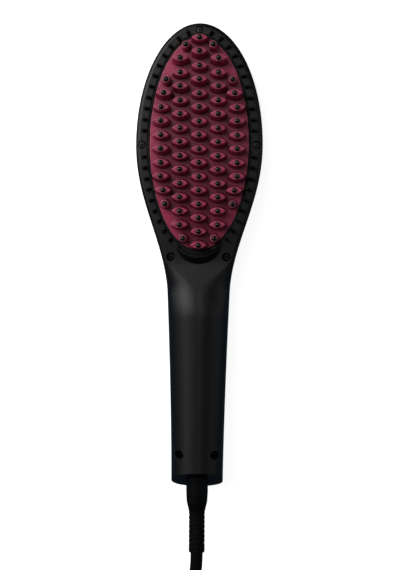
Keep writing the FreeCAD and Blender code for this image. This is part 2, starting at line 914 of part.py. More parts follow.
def make_thermal_fuse():
    start = Vec(-sensor_x, plate_y + fuse_y - fuse_length / 2, fuse_axis_z)
    barrel = Part.makeCylinder(fuse_radius, fuse_length, start, Vec(0, 1, 0))
    return barrel.makeChamfer(fuse_radius / 4, [edge for edge in barrel.Edges if edge.Closed])


def make_heat_shield():
    sheet = oval(-shield_inset, shield_height, shield_height + shield_thickness)
    holes = []
    for x, y in shield_post_sites():
        holes.append(cylinder(shield_pin_radius + shield_pin_fit, 0, ring_top, x, y))
    return one_solid(sheet.cut(holes))


def make_window():
    width = window_width - 2 * window_fit
    length = window_length - 2 * window_fit
    pane = rounded_block(width, length, window_round - window_fit, pocket_depth + window_sink,
                         pad_depth + window_flange_thickness, 0, window_place)
    flange = rounded_block(width + 2 * window_flange, length + 2 * window_flange, window_round, pad_depth,
                           pad_depth + window_flange_thickness, 0, window_place)
    return to_panel(pane.fuse(flange))


def make_display():
    width = window_width + 2 * window_flange - 2 * display_side
    length = window_length + 2 * window_flange - 2 * display_side
    return to_panel(block(width, length, pad_depth + window_flange_thickness, board_low, 0, window_place))


def make_button(place):
    # Dished cap through the panel, flange behind it and a stem towards its switch
    cap_top = pocket_depth - button_proud
    cap = cylinder(button_radius, cap_top, flange_high, 0, place)
    rim = [edge for edge in cap.Edges if edge.Closed and abs(edge.CenterOfMass.z - cap_top) < 1e-4]
    cap = cap.makeFillet(button_dish, rim)
    flange = cylinder(button_radius + button_flange, flange_low, flange_high, 0, place)
    stem = cylinder(button_stem_radius, flange_high, stem_end, 0, place)
    dish_radius = (button_radius ** 2 + button_dish ** 2) / (2 * button_dish)
    dish = Part.makeSphere(dish_radius, Vec(0, place, cap_top + button_dish / 2 - dish_radius))
    return to_panel(one_solid(cap.fuse([flange, stem]).cut(dish)))


def make_switches():
    switches = []
    for place in button_places:
        body = block(switch_side, switch_side, switch_top, board_low, 0, place)
        plunger = cylinder(switch_plunger_radius, plunger_top, switch_top, 0, place)
        switches.append(to_panel(body.fuse(plunger)))
    return Part.makeCompound(switches)


def make_board():
    length = board_front + board_rear
    middle = (board_front - board_rear) / 2
    board = block(2 * board_half_width, length, board_low, board_high, 0, middle)
    holes = []
    for x, y in board_post_sites():
        holes.append(cylinder(board_screw_shank + screw_hole_fit, 0, board_high + cut_margin, x, y))
    return to_panel(one_solid(board.cut(holes)))


def make_board_screws():
    screws = []
    for x, y in board_post_sites():
        screws.append(to_panel(screw(x, y, board_high, board_screw_length, board_screw_head,
                                     board_screw_height, board_screw_shank)))
    return Part.makeCompound(screws)


def make_power_stage():
    width, length, height = triac_size
    body = block(width, length, board_high, board_high + height, 0, triac_place)
    tab_width, tab_length, tab_height = triac_tab
    tab_y = triac_place + (length + tab_length) / 2
    tab = block(tab_width, tab_length, board_high, board_high + tab_height, 0, tab_y)
    return to_panel(one_solid(body.fuse(tab)))


def make_capacitor():
    width, length, height = capacitor_size
    case = rounded_block(width, length, length / 8, board_high, board_high + height, 0, capacitor_place)
    return to_panel(case)


def rounded_path(points):
    # Straight runs joined by tangent arcs, each as large as its two runs allow
    edges = []
    radii = []
    last = points[0]
    for before, corner, after in zip(points, points[1:], points[2:]):
        inward = (corner - before).normalize()
        outward = (after - corner).normalize()
        half_turn = inward.getAngle(outward) / 2
        trim = lead_trim * min(corner.distanceToPoint(before), after.distanceToPoint(corner))
        radius = trim / math.tan(half_turn)
        bisector = (outward - inward).normalize()
        start = corner - inward * trim
        end = corner + outward * trim
        middle = corner + bisector * (radius / math.cos(half_turn) - radius)
        edges.append(Part.LineSegment(last, start).toShape())
        edges.append(Part.Arc(start, middle, end).toShape())
        radii.append(radius)
        last = end
    edges.append(Part.LineSegment(last, points[-1]).toShape())
    return Part.Wire(edges), radii


def sweep(path, radius):
    edge = path.OrderedEdges[0]
    start = edge.valueAt(edge.FirstParameter)
    ring = Part.Wire(Part.Circle(start, edge.tangentAt(edge.FirstParameter), radius).toShape())
    return path.makePipeShell([ring], True, False)


def tube(points, radius):
    path, radii = rounded_path(points)
    solid = sweep(path, radius)
    share = solid.Volume / (math.pi * radius ** 2 * path.Length)
    facts = (path.Length, share, [round(r, 1) for r in radii])
    print("tube length %.1f  volume share %.4f  radii %s" % facts)
    return solid


heater_end_y = plate_y - heater_length / 2
heater_mid_x = (heater_width + heater_gap) / 2
heater_mid_z = plate_bottom - heater_thickness / 2
neck_lead_z = frame_bottom - neck_lead_drop


def board_end(x, y):
    # First two places of a wire that leaves the board square to it
    return [panel_place(x, y, board_high + lead_gap), panel_place(x, y, board_high + lead_rise)]


def neck_run(start, stop):
    # Places of a wire from above the board, straight and low through the neck, and up to its terminal
    low = Vec(start.x, (start.y + stop.y - lead_approach) / 2, neck_lead_z)
    approach = stop - Vec(0, lead_approach, lead_approach_drop)
    return [low, approach, stop - Vec(0, lead_straight, 0), stop]


def make_heater_leads():
    right = board_end(heater_mid_x, heater_lead_place)
    right += neck_run(right[-1], Vec(heater_mid_x, heater_end_y - lead_gap, heater_mid_z))
    fuse_in = Vec(-sensor_x, plate_y + fuse_y - fuse_length / 2 - lead_gap, fuse_axis_z)
    left = board_end(-heater_mid_x, heater_lead_place)
    left += neck_run(left[-1], fuse_in)
    fuse_out = fuse_in + Vec(0, fuse_length + 2 * lead_gap, 0)
    side_x = -heater_mid_x - heater_width / 2 - lead_gap
    strip_side = Vec(side_x, fuse_out.y + lead_approach / 2, heater_mid_z)
    link = [fuse_out, fuse_out + Vec(0, lead_straight, 0), strip_side - Vec(lead_side_swing, 0, 0),
            strip_side]
    return Part.makeCompound([tube(points, heater_lead_radius) for points in (right, left, link)])


def make_sensor_leads():
    leads = []
    for index in (0, 1):
        lead_x = board_half_width - sensor_lead_inset - index * sensor_lead_pitch
        points = board_end(lead_x, sensor_lead_place)
        sensor = Vec(sensor_x + sensor_lead_pitch * (0.5 - index),
                     plate_y + sensor_y - sensor_size[1] / 2 - lead_gap, plate_bottom - sensor_size[2] / 2)
        leads.append(tube(points + neck_run(points[-1], sensor), sensor_lead_radius))
    return Part.makeCompound(leads)


def make_mains_leads():
    leads = []
    for side in (-1, 1):
        x = side * (core_radius + core_gap / 2)
        start = Vec(x, inner_cord_y + lead_gap, cord_axis_z)
        foot = panel_place(x, mains_lead_place, board_high + lead_gap)
        above = panel_place(x, mains_lead_place, board_high + cord_axis_z - foot.z)
        leads.append(tube([start, Vec(x, start.y + core_run, cord_axis_z), above, foot], core_radius))
    return Part.makeCompound(leads)


def make_inner_cord():
    return along_cord(cord_radius, boot_end_y, inner_cord_y)


def make_strain_relief():
    # Flared root against the slanted end, cone and grooved tail round the lead, collar inside the end wall
    cone_y = end_y - boot_root_length
    tail_y = cone_y - boot_cone_length
    line = [(0, boot_inner_y), (boot_root_radius, boot_inner_y), (boot_root_radius, end_y),
            (boot_shoulder_radius, cone_y), (boot_tail_radius, tail_y), (boot_tail_radius, boot_end_y),
            (0, boot_end_y)]
    points = [Vec(radius, y, cord_axis_z) for radius, y in line]
    profile = Part.Face(Part.makePolygon(points + points[:1]))
    body = profile.revolve(Vec(0, 0, cord_axis_z), Vec(0, 1, 0), 360)
    body = body.cut(handle_side_block(-boot_seat_gap))
    collar = along_cord(boot_collar_radius, boot_end_y, boot_inner_y).cut(end_block(wall + boot_seat_gap))
    body = body.fuse(collar).fuse(along_cord(boot_neck_radius, end_y, boot_inner_y))
    core = along_cord(boot_tail_radius - boot_groove_depth, boot_end_y, boot_inner_y)
    for index in range(boot_groove_count):
        start_y = tail_y - boot_groove_pitch * (index + 1)
        body = body.cut(along_cord(boot_root_radius, start_y, start_y + boot_groove_width).cut(core))
    return one_solid(body.cut(along_cord(cord_radius + boot_bore_fit, boot_end_y - cut_margin, handle_top)))


def make_cord_clamp():
    low = cord_axis_z + grip_split
    bar = block(2 * grip_half_length, grip_width, low, low + grip_ear, 0, grip_place_y)
    start_y = grip_place_y - grip_width / 2
    arch = along_cord(cord_radius + grip_arch, start_y, start_y + grip_width)
    arch = arch.cut(Part.makeBox(far, far, far, Vec(-far / 2, -far / 2, low - far)))
    bar = bar.fuse(arch)
    cuts = [along_cord(cord_radius + grip_fit, start_y - cut_margin, start_y + grip_width + cut_margin)]
    for x in (-grip_screw_x, grip_screw_x):
        cuts.append(cylinder(grip_screw_shank + screw_hole_fit, 0, far, x, grip_place_y))
    return one_solid(bar.cut(cuts))


def make_cord_clamp_screws():
    seat = cord_axis_z + grip_split + grip_ear
    screws = []
    for x in (-grip_screw_x, grip_screw_x):
        screws.append(screw(x, grip_place_y, seat, grip_screw_length, grip_screw_head, grip_screw_height,
                            grip_screw_shank))
    return Part.makeCompound(screws)


# Coil of the lead: in, up, out, up, in, up and out again, on four layers
coil_floor_z = cord_radius + tie_gap + tie_thickness
coil_outer_radius = coil_inner_radius + coil_step * coil_layer_halves[0]
coil_exit_radius = coil_inner_radius + coil_step * coil_layer_halves[-1]
coil_top_z = coil_floor_z + coil_layer * (len(coil_layer_halves) - 1)
coil_centre = Vec(coil_outer_radius - coil_side, boot_end_y - coil_away, 0.0)


def coil_stations():
    # A place and heading on the left and on the right of the coil in turn
    points = []
    for layer, halves in enumerate(coil_layer_halves):
        for index in range(halves + 1):
            inward = layer % 2 == 0
            grown = coil_step * index
            radius = coil_outer_radius - grown if inward else coil_inner_radius + grown
            side = -1 if len(points) % 2 == 0 else 1
            place = Vec(coil_centre.x + side * radius, coil_centre.y, coil_floor_z + coil_layer * layer)
            points.append((place, Vec(0, side, 0)))
    return points


def half_turn_arcs(start, heading, end):
    # Two tangent arcs from start along heading round to end, which is left the opposite way
    reach = (end - start).Length / 2
    first = start + heading * reach
    second = end + heading * reach
    joint = (first + second) * 0.5
    arcs = []
    for a, corner, b in ((start, first, joint), (joint, second, end)):
        chord_middle = (a + b) * 0.5
        half_chord = (b - a).Length / 2
        to_corner = corner - chord_middle
        half_angle = math.atan2(to_corner.Length, half_chord)
        sagitta = half_chord * math.tan(half_angle / 2)
        arcs.append(Part.Arc(a, chord_middle + to_corner.normalize() * sagitta, b))
    return arcs


def make_cord_coil():
    stations = coil_stations()
    arcs = []
    for (start, heading), (end, _) in zip(stations, stations[1:]):
        arcs += half_turn_arcs(start, heading, end)
    path = Part.Wire([arc.toShape() for arc in arcs])
    coil = sweep(path, cord_radius)
    print("coil length %.1f  least gap to itself %.2f" % (path.Length, least_gap(arcs)))
    return coil


def least_gap(arcs):
    # Closest approach of the tube to itself, on points a few millimetres apart
    points = []
    walked = 0.0
    for arc in arcs:
        span = arc.length()
        count = int(span / 2.0)
        for index in range(count):
            share = index / count
            place = mix(arc.FirstParameter, arc.LastParameter, share)
            points.append((walked + span * share, arc.value(place)))
        walked += span
    least = far
    for index, (distance, point) in enumerate(points):
        for other_distance, other in points[index + 1:]:
            if other_distance - distance > 4 * cord_diameter:
                least = min(least, point.distanceToPoint(other))
    return least - cord_diameter


def make_coil_tie():
    # Strap round the strands on the far side of the coil from the lead's entry
    inner_low = coil_floor_z - cord_radius - tie_gap
    inner_high = coil_top_z + cord_radius + tie_gap
    near = coil_centre.x + coil_inner_radius - cord_radius - tie_side_gap
    away = coil_centre.x + coil_outer_radius + cord_radius + tie_side_gap
    width = away - near
    middle = (away + near) / 2

    def band(grow, length):
        solid = Part.makeBox(width + 2 * grow, length, inner_high - inner_low + 2 * grow,
                             Vec(middle - width / 2 - grow, coil_centre.y - length / 2, inner_low - grow))
        ribs = [edge for edge in solid.Edges if abs(edge.Vertexes[0].Y - edge.Vertexes[1].Y) > 1e-6]
        return solid.makeFillet(tie_round + grow - tie_thickness, ribs)

    return band(tie_thickness, tie_width).cut(band(0.0, tie_width + cut_margin))


entry = Vec(coil_centre.x - coil_outer_radius, coil_centre.y, coil_floor_z)
leave = Vec(coil_centre.x - coil_exit_radius, coil_centre.y, coil_top_z)


def run_between(start, stop, shares):
    # Places between two ends, each by its share of the way along, across and down
    return [Vec(mix(start.x, stop.x, across), mix(start.y, stop.y, along), mix(start.z, stop.z, down))
            for along, across, down in shares]


boot_mouth = Vec(0, boot_end_y, cord_axis_z)
lead_start = boot_mouth - Vec(0, lead_out, 0)
lead_stop = entry + Vec(0, lead_in, 0)
cord_route = [boot_mouth, lead_start]
cord_route += run_between(lead_start, lead_stop, ((0.25, 0.16, 0.19), (0.5, 0.56, 0.55), (0.75, 0.88, 0.87)))
cord_route += [lead_stop, entry]
drop_start = leave - Vec(0, tail_over, 0)
drop_stop = Vec(leave.x + tail_swing, drop_start.y - tail_drop_run, plug_height / 2)
plug_axis = drop_stop - Vec(0, plug_lead_in, 0)
tail_route = [leave, drop_start]
tail_route += run_between(drop_start, drop_stop, ((0.34, 0.22, 0.21), (0.68, 0.67, 0.69)))
tail_route += [drop_stop, plug_axis]


plug_tail_y = plug_axis.y - plug_tail_length
plug_face_y = plug_tail_y - plug_body_length


def make_plug_body():
    # Flat two-pin plug: wide face, drawn-in waist, and a round tail for the lead
    def loop(width, height, radius, y):
        solid = Part.makeBox(width, 1, height, Vec(plug_axis.x - width / 2, y, plug_axis.z - height / 2))
        ribs = [edge for edge in solid.Edges if abs(edge.Vertexes[0].Y - edge.Vertexes[1].Y) > 1e-6]
        rounded = solid.makeFillet(radius, ribs)
        faces = [face for face in rounded.Faces if abs(face.CenterOfMass.y - y) < 1e-6]
        return faces[0].OuterWire

    full_y = plug_face_y + plug_full_length
    body = Part.makeLoft([loop(plug_waist_width, plug_waist_height, plug_face_round, plug_tail_y),
                          loop(plug_width, plug_height, plug_face_round, full_y),
                          loop(plug_width, plug_height, plug_face_round, plug_face_y)], True, True)
    tail = Part.makeCone(plug_tail_radius, plug_waist_height / 2, plug_tail_length, plug_axis, Vec(0, -1, 0))
    holes = []
    for x in (-pin_spacing / 2, pin_spacing / 2):
        mouth = Vec(plug_axis.x + x, plug_face_y, plug_axis.z)
        holes.append(Part.makeCylinder(pin_root_radius, pin_root, mouth, Vec(0, 1, 0)))
    return one_solid(body.fuse(tail).cut(holes))


def make_plug_pins():
    pins = []
    for x in (-pin_spacing / 2, pin_spacing / 2):
        mouth = Vec(plug_axis.x + x, plug_face_y, plug_axis.z)
        pin = Part.makeCylinder(pin_radius, pin_length, mouth, Vec(0, -1, 0))
        ends = [edge for edge in pin.Edges if edge.Closed and edge.CenterOfMass.y < plug_face_y - pin_round]
        pin = pin.makeFillet(pin_round, ends)
        pins.append(pin.fuse(Part.makeCylinder(pin_root_radius, pin_root, mouth, Vec(0, 1, 0))))
    return Part.makeCompound(pins)


os.makedirs("parts", exist_ok=True)
save("front_shell", make_front_shell())
save("back_shell", make_back_shell())
save("heater_plate", make_heater_plate())
save("fin_tips", make_fin_tips())
save("plate_frame", make_plate_frame())
save("rim_teeth", make_rim_teeth())
save("head_screws", make_screws(head_sites, lambda y: head_seat, head_screw_radius, head_screw_height))
save("neck_screws", make_screws(neck_sites, deep_seat, deep_screw_radius, deep_screw_height))
save("handle_screws", make_screws(handle_sites, deep_seat, deep_screw_radius, deep_screw_height))
save("ceramic_heaters", make_heaters())
save("mica_sheet", make_mica_sheet())
save("heater_clamp", make_heater_clamp())
save("clamp_screws", make_clamp_screws())
save("thermistor", make_thermistor())
save("thermal_fuse", make_thermal_fuse())
save("heat_shield", make_heat_shield())
save("display_window", make_window())
save("display_module", make_display())
for name, place in zip(("power_button", "plus_button", "minus_button"), button_places):
    save(name, make_button(place))
save("tact_switches", make_switches())
save("control_board", make_board())
save("board_screws", make_board_screws())
save("power_stage", make_power_stage())
save("mains_capacitor", make_capacitor())
save("heater_leads", make_heater_leads())
save("sensor_leads", make_sensor_leads())
save("mains_leads", make_mains_leads())
save("inner_cord", make_inner_cord())
save("strain_relief", make_strain_relief())
save("cord_clamp", make_cord_clamp())
save("cord_clamp_screws", make_cord_clamp_screws())
save("cord", tube(cord_route, cord_radius))
save("cord_coil", make_cord_coil())
save("coil_tie", make_coil_tie())
save("cord_tail", tube(tail_route, cord_radius))
save("plug_body", make_plug_body())
save("plug_pins", make_plug_pins())
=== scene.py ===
import bpy
import json
import math
from mathutils import Matrix, Vector


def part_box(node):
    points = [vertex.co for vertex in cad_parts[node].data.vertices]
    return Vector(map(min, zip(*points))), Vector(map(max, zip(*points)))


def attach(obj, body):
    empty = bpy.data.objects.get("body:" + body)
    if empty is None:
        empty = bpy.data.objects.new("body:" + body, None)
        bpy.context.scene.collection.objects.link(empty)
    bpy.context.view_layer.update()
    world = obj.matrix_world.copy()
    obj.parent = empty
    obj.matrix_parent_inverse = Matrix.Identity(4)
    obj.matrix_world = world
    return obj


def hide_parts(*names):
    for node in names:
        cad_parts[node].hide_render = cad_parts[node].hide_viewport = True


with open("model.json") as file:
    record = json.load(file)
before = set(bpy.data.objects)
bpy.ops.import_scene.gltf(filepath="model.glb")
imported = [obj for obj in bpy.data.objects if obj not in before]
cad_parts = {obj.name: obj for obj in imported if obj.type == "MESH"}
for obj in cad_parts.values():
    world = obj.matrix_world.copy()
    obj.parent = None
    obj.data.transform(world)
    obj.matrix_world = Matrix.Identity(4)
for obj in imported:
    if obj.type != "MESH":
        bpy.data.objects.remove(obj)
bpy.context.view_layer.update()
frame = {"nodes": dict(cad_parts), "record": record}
nodes = frame["nodes"]
mm = 0.001  # sizes below are in millimetres unless a note says otherwise
print("frame loaded with", len(nodes), "nodes")


# camera, nearly square above the plate
cameraSettings = {
    "place": (14.2, 22.0, 625.0),
    "target": (0.94, -15.0, 21.0),
    "lens": 65.45,
    "sensor": 36.0,
    "roll": 0.35,
    "clipStart": 10.0,
}

cameraPlace = Vector(cameraSettings["place"]) * mm
sight = (Vector(cameraSettings["target"]) * mm - cameraPlace).normalized()
upward = (Vector((0, 1, 0)) - sight * sight.y).normalized()
turned = Matrix((sight.cross(upward), upward, -sight)).transposed()
turned = turned @ Matrix.Rotation(math.radians(cameraSettings["roll"]), 3, "Z")
bpy.ops.object.camera_add(location=cameraPlace, rotation=turned.to_euler())
camera = bpy.context.object
camera.data.lens = cameraSettings["lens"]
camera.data.sensor_width = cameraSettings["sensor"]
camera.data.clip_start = cameraSettings["clipStart"] * mm
bpy.context.scene.camera = camera
print("camera placed")


# colours, nodes and materials
def toLinear(hexColour):
    channels = [int(hexColour[first:first + 2], 16) / 255 for first in (0, 2, 4)]
    linear = [part / 12.92 if part <= 0.04045 else ((part + 0.055) / 1.055) ** 2.4 for part in channels]
    return (*linear, 1.0)


def addNode(tree, kind, settings=None, links=None):
    node = tree.nodes.new(kind)
    for name, value in (settings or {}).items():
        if isinstance(name, str) and hasattr(node, name):
            setattr(node, name, value)
        else:
            node.inputs[name].default_value = value
    for name, source in (links or {}).items():
        tree.links.new(source, node.inputs[name])
    return node


def newMaterial(name):
    material = bpy.data.materials.new(name)
    material.use_nodes = True
    material.node_tree.nodes.clear()
    return material, material.node_tree


# modelling by hand, with faces picked by their place or normal
facing = 0.9  # a face looks along an axis when its normal has this share of it
mergeGap = 0.001
sharpAngle = math.radians(40)
smoothAngle = math.radians(35)
sideways = (1, 0, 0)
lengthways = (0, 1, 0)
bpy.context.tool_settings.mesh_select_mode = (False, False, True)  # edit mode picks faces


def selectFaces(mesh, test):
    # ends in edit mode, with only the faces that pass the test selected
    bpy.ops.object.mode_set(mode="OBJECT")
    for part in (mesh.vertices, mesh.edges, mesh.polygons):
        part.foreach_set("select", [False] * len(part))
    for face in mesh.polygons:
        face.select = test(face)
    bpy.ops.object.mode_set(mode="EDIT")


def faceOutward():
    # turns every face of the mesh in edit mode outward, and ends in object mode
    bpy.ops.mesh.select_all(action="SELECT")
    bpy.ops.mesh.remove_doubles(threshold=mergeGap * mm)
    bpy.ops.mesh.normals_make_consistent(inside=False)
    bpy.ops.object.mode_set(mode="OBJECT")


def applyModifier(piece, modifier):
    bpy.context.view_layer.objects.active = piece
    bpy.ops.object.modifier_apply(modifier=modifier.name)


def softenEdges(piece, width, steps):
    bevel = piece.modifiers.new("softEdge", "BEVEL")
    bevel.width = width * mm
    bevel.segments = steps
    bevel.limit_method = "ANGLE"
    bevel.angle_limit = sharpAngle
    applyModifier(piece, bevel)


def joinPieces(pieces, name):
    bpy.ops.object.select_all(action="DESELECT")
    for piece in pieces:
        piece.select_set(True)
    bpy.context.view_layer.objects.active = pieces[0]
    bpy.ops.object.join()
    joined = bpy.context.object
    joined.name = joined.data.name = name
    bpy.ops.object.shade_smooth_by_angle(angle=smoothAngle)
    return joined


def spreadCopies(piece, places, name):
    # a copy with its own mesh at each place, the first one being the piece itself
    copies = [piece]
    for place in places[1:]:
        another = piece.copy()
        another.data = piece.data.copy()
        another.data.transform(Matrix.Translation(place))
        bpy.context.scene.collection.objects.link(another)
        copies.append(another)
    piece.data.transform(Matrix.Translation(places[0]))
    return joinPieces(copies, name)


def armedBlock(name, width, length, height, ways):
    # a small square block with an arm drawn out of each side that is named
    bpy.ops.object.select_all(action="DESELECT")
    bpy.ops.mesh.primitive_cube_add(
        size=1.0,
        location=(0, 0, height / 2 * mm),
        scale=(width * mm, width * mm, height * mm),
    )
    block = bpy.context.object
    block.name = block.data.name = name
    bpy.ops.object.transform_apply(location=True, rotation=True, scale=True)
    selectFaces(block.data, lambda face: max(abs(face.normal.dot(Vector(way))) for way in ways) > facing)
    bpy.ops.mesh.extrude_faces_move(TRANSFORM_OT_shrink_fatten={"value": length * mm})
    faceOutward()
    return block


def looseBoxes(node):
    # lowest and highest corner of each solid in a node, from a merged copy that is taken apart and deleted
    bpy.ops.object.select_all(action="DESELECT")
    copied = nodes[node].copy()
    copied.data = nodes[node].data.copy()
    bpy.context.scene.collection.objects.link(copied)
    copied.select_set(True)
    bpy.context.view_layer.objects.active = copied
    bpy.ops.object.mode_set(mode="EDIT")
    bpy.ops.mesh.select_all(action="SELECT")
    bpy.ops.mesh.remove_doubles(threshold=mergeGap * mm)
    bpy.ops.mesh.separate(type="LOOSE")
    bpy.ops.object.mode_set(mode="OBJECT")
    boxes = []
    for piece in bpy.context.selected_objects:
        spots = [vertex.co for vertex in piece.data.vertices]
        corners = []
        for pick in (min, max):
            corners.append(Vector([pick(spot[axis] for spot in spots) for axis in range(3)]))
        boxes.append(corners)
    bpy.ops.object.delete()
    # row by row, rounded to a hundredth of a millimetre
    return sorted(boxes, key=lambda box: (round(box[0].y, 5), round(box[0].x, 5)))


def middleAt(low, high, height):
    # middle of a box seen from above, at a height
    return Vector(((low.x + high.x) / 2, (low.y + high.y) / 2, height))


# mains lead, from the boot through the put-away coil to the plug
leadSettings = {
    "diameter": 7.2,
    "length": 1.72,  # in metres
    "start": [
        (0, -172.3, 24.05),
        (0, -187.3, 24.05),
        (-5.31, -202.05, 20.4),
        (-18.59, -216.8, 13.46),
        (-29.22, -231.55, 7.3),
        (-33.2, -246.3, 4.8),
    ],
    "coilMiddle": (9.45, -258.3),
    "innerRadius": 28.85,
    "step": 4.6,  # that each half turn is drawn in or out
    "layerHalves": (3, 3, 3, 2),  # half turns in each layer
    "floorHeight": 4.8,
    "layerHeight": 7.85,
    "pointsPerTurn": 16,
    "finish": [
        (-28.6, -288.3, 28.35),
        (-26.19, -304.62, 23.84),
        (-21.26, -320.94, 13.52),
        (-17.65, -336.3, 6.85),
        (-17.65, -351.3, 6.85),
    ],
    "lineSteps": 6,
    "roundSteps": 6,
}


def coilPoints(sizes):
    # in on the lowest layer, out on the next, and so on, half a turn up between them
    outerRadius = sizes["innerRadius"] + sizes["step"] * sizes["layerHalves"][0]
    stations = []
    for layer, halves in enumerate(sizes["layerHalves"]):
        inward = layer % 2 == 0
        for index in range(halves + 1):
            drawn = sizes["step"] * index
            radius = outerRadius - drawn if inward else sizes["innerRadius"] + drawn
            stations.append((radius, sizes["floorHeight"] + sizes["layerHeight"] * layer))
    points = []
    perHalf = sizes["pointsPerTurn"] // 2
    for number in range((len(stations) - 1) * perHalf + 1):
        half = min(number // perHalf, len(stations) - 2)
        share = number / perHalf - half
        eased = share * share * (3 - 2 * share)
        (radius, height), (nextRadius, nextHeight) = stations[half], stations[half + 1]
        angle = math.pi * (1 + number / perHalf)
        radius += (nextRadius - radius) * share
        x = sizes["coilMiddle"][0] + radius * math.cos(angle)
        y = sizes["coilMiddle"][1] + radius * math.sin(angle)
        points.append((x, y, height + (nextHeight - height) * eased))
    return points


# tie round the put-away coil: hook-and-loop tape drawn tight over its turns, with a free end over the slope
tieSettings = {
    "thickness": 0.9,
    "gap": 0.25,
    "sides": 24,
    "softEdge": 0.2,
    "softSteps": 2,
    "flapInset": 0.6,
    "flapNormal": (0.5, 0.02),  # least x and z of the normals that the free end lies on
}


def makeTie(sizes, leadSizes):
    # hull of the turns that pass under the tie, opened at both ends and thickened
    low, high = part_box("coil_tie")
    width = high.y - low.y
    perTurn = leadSizes["pointsPerTurn"]
    cores = []
    for x, y, z in coilPoints(leadSizes)[perTurn // 2::perTurn]:
        bpy.ops.object.select_all(action="DESELECT")
        bpy.ops.mesh.primitive_cylinder_add(
            vertices=sizes["sides"],
            radius=(leadSizes["diameter"] / 2 + sizes["gap"]) * mm,
            depth=width,
            location=(x * mm, y * mm, z * mm),
            rotation=(math.radians(90), 0, 0),
        )
        cores.append(bpy.context.object)
        bpy.ops.object.transform_apply(location=True, rotation=True, scale=True)
    band = joinPieces(cores, "leadTie")
    bpy.ops.object.mode_set(mode="EDIT")
    bpy.ops.mesh.select_all(action="SELECT")
    bpy.ops.mesh.convex_hull()
    selectFaces(band.data, lambda face: abs(face.normal.y) > facing)
    bpy.ops.mesh.delete(type="FACE")
    leastX, leastZ = sizes["flapNormal"]
    selectFaces(band.data, lambda face: face.normal.x > leastX and face.normal.z > leastZ)
    bpy.ops.mesh.duplicate()
    bpy.ops.transform.resize(value=(1, 1 - 2 * sizes["flapInset"] * mm / width, 1))
    bpy.ops.transform.shrink_fatten(value=sizes["thickness"] * mm)
    bpy.ops.mesh.separate(type="SELECTED")
    bpy.ops.object.mode_set(mode="OBJECT")
    flap = [piece for piece in bpy.context.selected_objects if piece is not band][0]
    for piece in (band, flap):
        wall = piece.modifiers.new("tape", "SOLIDIFY")
        wall.thickness = sizes["thickness"] * mm
        wall.offset = 1.0
        wall.use_even_offset = True
        applyModifier(piece, wall)
        softenEdges(piece, sizes["softEdge"], sizes["softSteps"])
    return joinPieces([band, flap], "leadTie")


leadTie = makeTie(tieSettings, leadSettings)
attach(leadTie, "housing")
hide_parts("coil_tie")
print("tie made")


# the lead itself, one smooth line along its route
bpy.ops.object.select_all(action="DESELECT")
leadData = bpy.data.curves.new("mainsLead", "CURVE")
leadData.dimensions = "3D"
leadLine = leadData.splines.new("NURBS")
leadRoute = leadSettings["start"] + coilPoints(leadSettings) + leadSettings["finish"]
leadLine.points.add(len(leadRoute) - 1)
for point, place in zip(leadLine.points, leadRoute):
    point.co = (place[0] * mm, place[1] * mm, place[2] * mm, 1.0)
    point.radius = leadSettings["diameter"] / 2 * mm
leadLine.order_u = 3
leadLine.use_endpoint_u = True
leadLine.resolution_u = leadSettings["lineSteps"]
leadData.bevel_depth = 1.0  # times each point's radius
leadData.bevel_resolution = leadSettings["roundSteps"]
leadData.use_fill_caps = True
lead = bpy.data.objects.new("mainsLead", leadData)
bpy.context.scene.collection.objects.link(lead)
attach(lead, "housing")
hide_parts("cord", "cord_coil", "cord_tail")
print("lead laid with", len(leadRoute), "points")


# rims where the beads sit on the fins, one under each bead, brighter than the coat as a painted highlight
seatSettings = {
    "radius": 1.66,
    "thickness": 0.24,
    "flatten": 0.6,
    "segments": 20,
    "sides": 6,
}


def makeSeats(sizes):
    bpy.ops.object.select_all(action="DESELECT")
    bpy.ops.mesh.primitive_torus_add(
        major_radius=sizes["radius"] * mm,
        minor_radius=sizes["thickness"] * mm,
        major_segments=sizes["segments"],
        minor_segments=sizes["sides"],
    )
    ring = bpy.context.object
    bpy.ops.object.mode_set(mode="EDIT")
    bpy.ops.mesh.select_all(action="SELECT")
    bpy.ops.transform.resize(value=(1, 1, sizes["flatten"]))
    bpy.ops.object.mode_set(mode="OBJECT")
    feet = [middleAt(low, high, low.z) for low, high in looseBoxes("fin_tips")]
    return spreadCopies(ring, feet, "beadSeats")


beadSeats = makeSeats(seatSettings)
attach(beadSeats, "housing")
print("bead seats made")


# pan screws with a cross recess, three flush in the ring and four sunk in the handle
screwSettings = {
    "headHeight": 1.7,
    "headRound": 0.75,
    "roundSteps": 5,
    "shankRadius": 1.15,
    "tip": 1.2,
    "tipShare": 0.3,  # of the shank's radius that is left at the point
    "crossWidth": 1.0,
    "crossArm": 0.95,
    "crossDepth": 1.3,
    "crossShare": 0.2,  # of the cross that is left at its floor
    "sides": 32,
}
screwSets = {"ringScrews": "head_screws", "neckScrews": "neck_screws", "endScrews": "handle_screws"}


